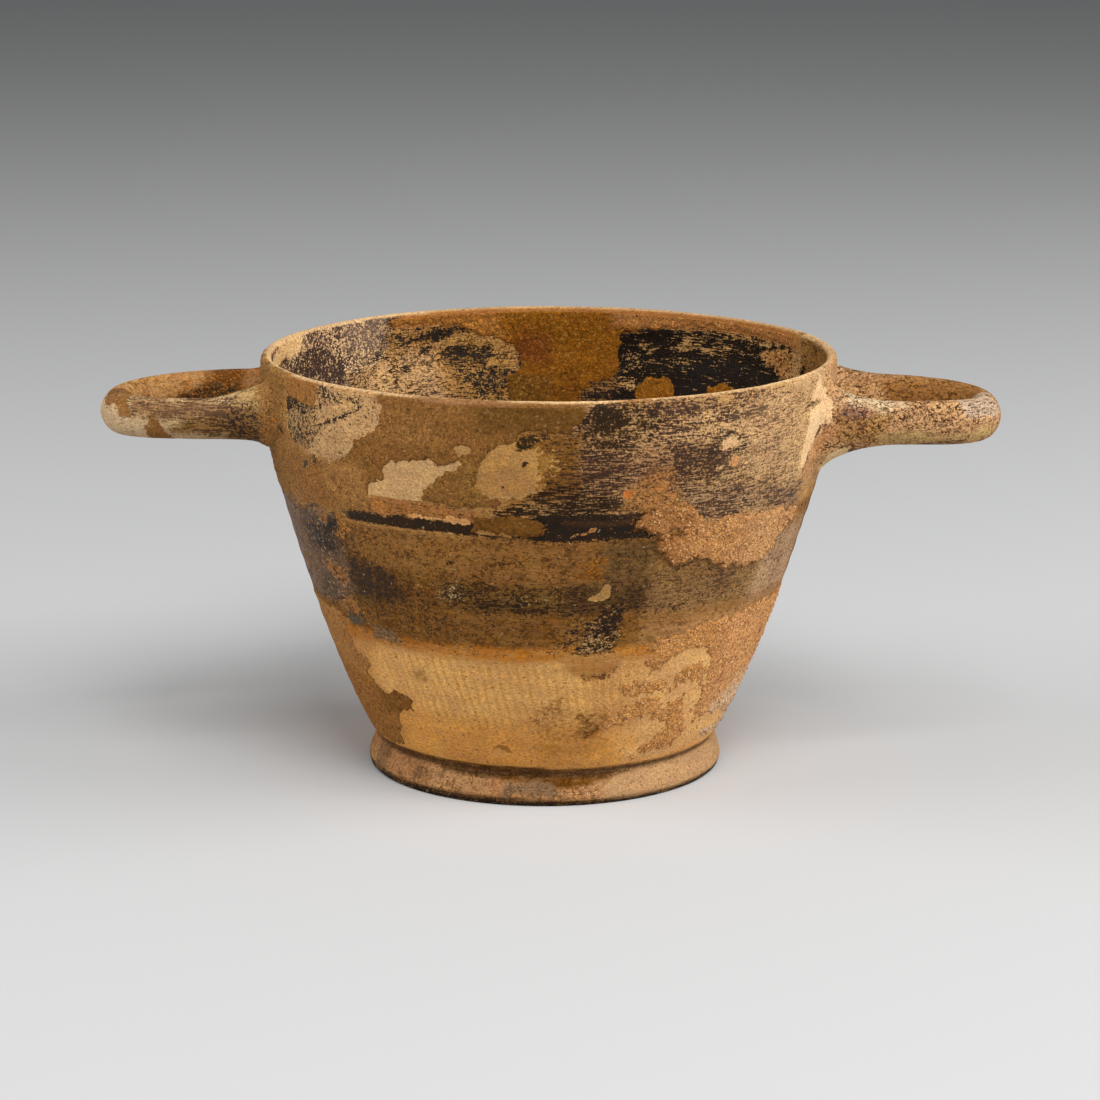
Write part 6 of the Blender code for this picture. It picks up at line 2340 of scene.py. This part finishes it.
@dataclass(frozen=True)
class Studio:
    """A pale floor, soft lights and the photograph's camera, in metres and watts."""

    camera_place: Place = (-0.00007, -0.7, 0.20725)
    aim: Place = (-0.00007, 0.0, 0.0452)
    lens: float = 110.95
    sensor: float = 36.0
    nearest: float = 0.01
    lamps: tuple[tuple[str, Place, float], ...] = (
        ("front key", (0.25, -0.85, 1.15), 19.6),
        ("right side", (1.05, -0.15, 0.5), 12.5),
        ("left side", (-1.05, -0.15, 0.5), 8.6),
    )
    lamp_size: float = 0.8
    walls: str = "#c4c6c8"
    wall_light: float = 0.3
    paper: str = "#b9b9b9"
    paper_roughness: float = 0.9
    floor_size: float = 12.0

    def build(self) -> None:
        """Sets up everything that isn't the cup."""
        self.floor()
        for name, place, watts in self.lamps:
            lamp = bpy.data.lights.new(name, "AREA")
            lamp.size = self.lamp_size
            lamp.energy = watts
            self.set_up(name, lamp, place)
        world = bpy.data.worlds.new("studio")
        world.use_nodes = True
        background = world.node_tree.nodes["Background"]
        background.inputs["Color"].default_value = linear(self.walls)
        background.inputs["Strength"].default_value = self.wall_light
        bpy.context.scene.world = world
        bpy.context.scene.view_settings.view_transform = "Standard"
        camera = bpy.data.cameras.new("camera")
        camera.sensor_width = self.sensor
        camera.lens = self.lens
        camera.clip_start = self.nearest
        bpy.context.scene.camera = self.set_up("camera", camera, self.camera_place)

    def floor(self) -> None:
        """The plain floor under the cup."""
        half = self.floor_size / 2 / MM
        corners = np.array([(-half, -half, 0.0), (half, -half, 0.0), (half, half, 0.0), (-half, half, 0.0)])
        floor = new_mesh("floor", corners, [(0, 1, 2, 3)])
        paper = bpy.data.materials.new("matt grey paper")
        paper.use_nodes = True
        shader = paper.node_tree.nodes["Principled BSDF"]
        shader.inputs["Base Color"].default_value = linear(self.paper)
        shader.inputs["Roughness"].default_value = self.paper_roughness
        floor.data.materials.append(paper)

    def set_up(self, name: str, data: bpy.types.ID, place: Place) -> bpy.types.Object:
        """Puts a lamp or the camera at its place and aims it at the cup."""
        item = bpy.data.objects.new(name, data)
        item.location = place
        item.rotation_euler = (Vector(self.aim) - item.location).to_track_quat("-Z", "Y").to_euler()
        bpy.context.scene.collection.objects.link(item)
        return item


def main() -> None:
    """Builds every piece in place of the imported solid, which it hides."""
    logging.basicConfig(level=logging.INFO, format="%(message)s")
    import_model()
    form = CupForm()
    relief = Relief()
    left = Handle(
        form,
        sign=-1.0,
        reach=93.8,
        depth=11.3,
        droop=0.9,
        section_height=8.5,
        root_length=7.0,
        root_rise=5.2,
        root_drop=1.6,
        near_rise=3.6,
    )
    right = Handle(
        form,
        sign=1.0,
        reach=94.8,
        depth=12.2,
        droop=1.2,
        section_height=9.0,
        root_length=14.0,
        root_rise=6.2,
        root_drop=5.2,
    )
    pieces = [Cup(form, relief, (left, right)).build()]
    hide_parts(NODE)
    top = form.cup_height - form.lip_thickness / 2
    for sheet in CRUSTS:
        pieces.append(sheet.build(form, relief, top))
        if sheet.grit:
            pieces.append(SandGrains(f"{sheet.name}_grit", sheet.grit).build(pieces[-1]))
    for piece in pieces:
        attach(piece, BODY)
        log.info("%s: %d faces", piece.name, len(piece.data.polygons))
    Studio().build()


if __name__ == "__main__":
    main()
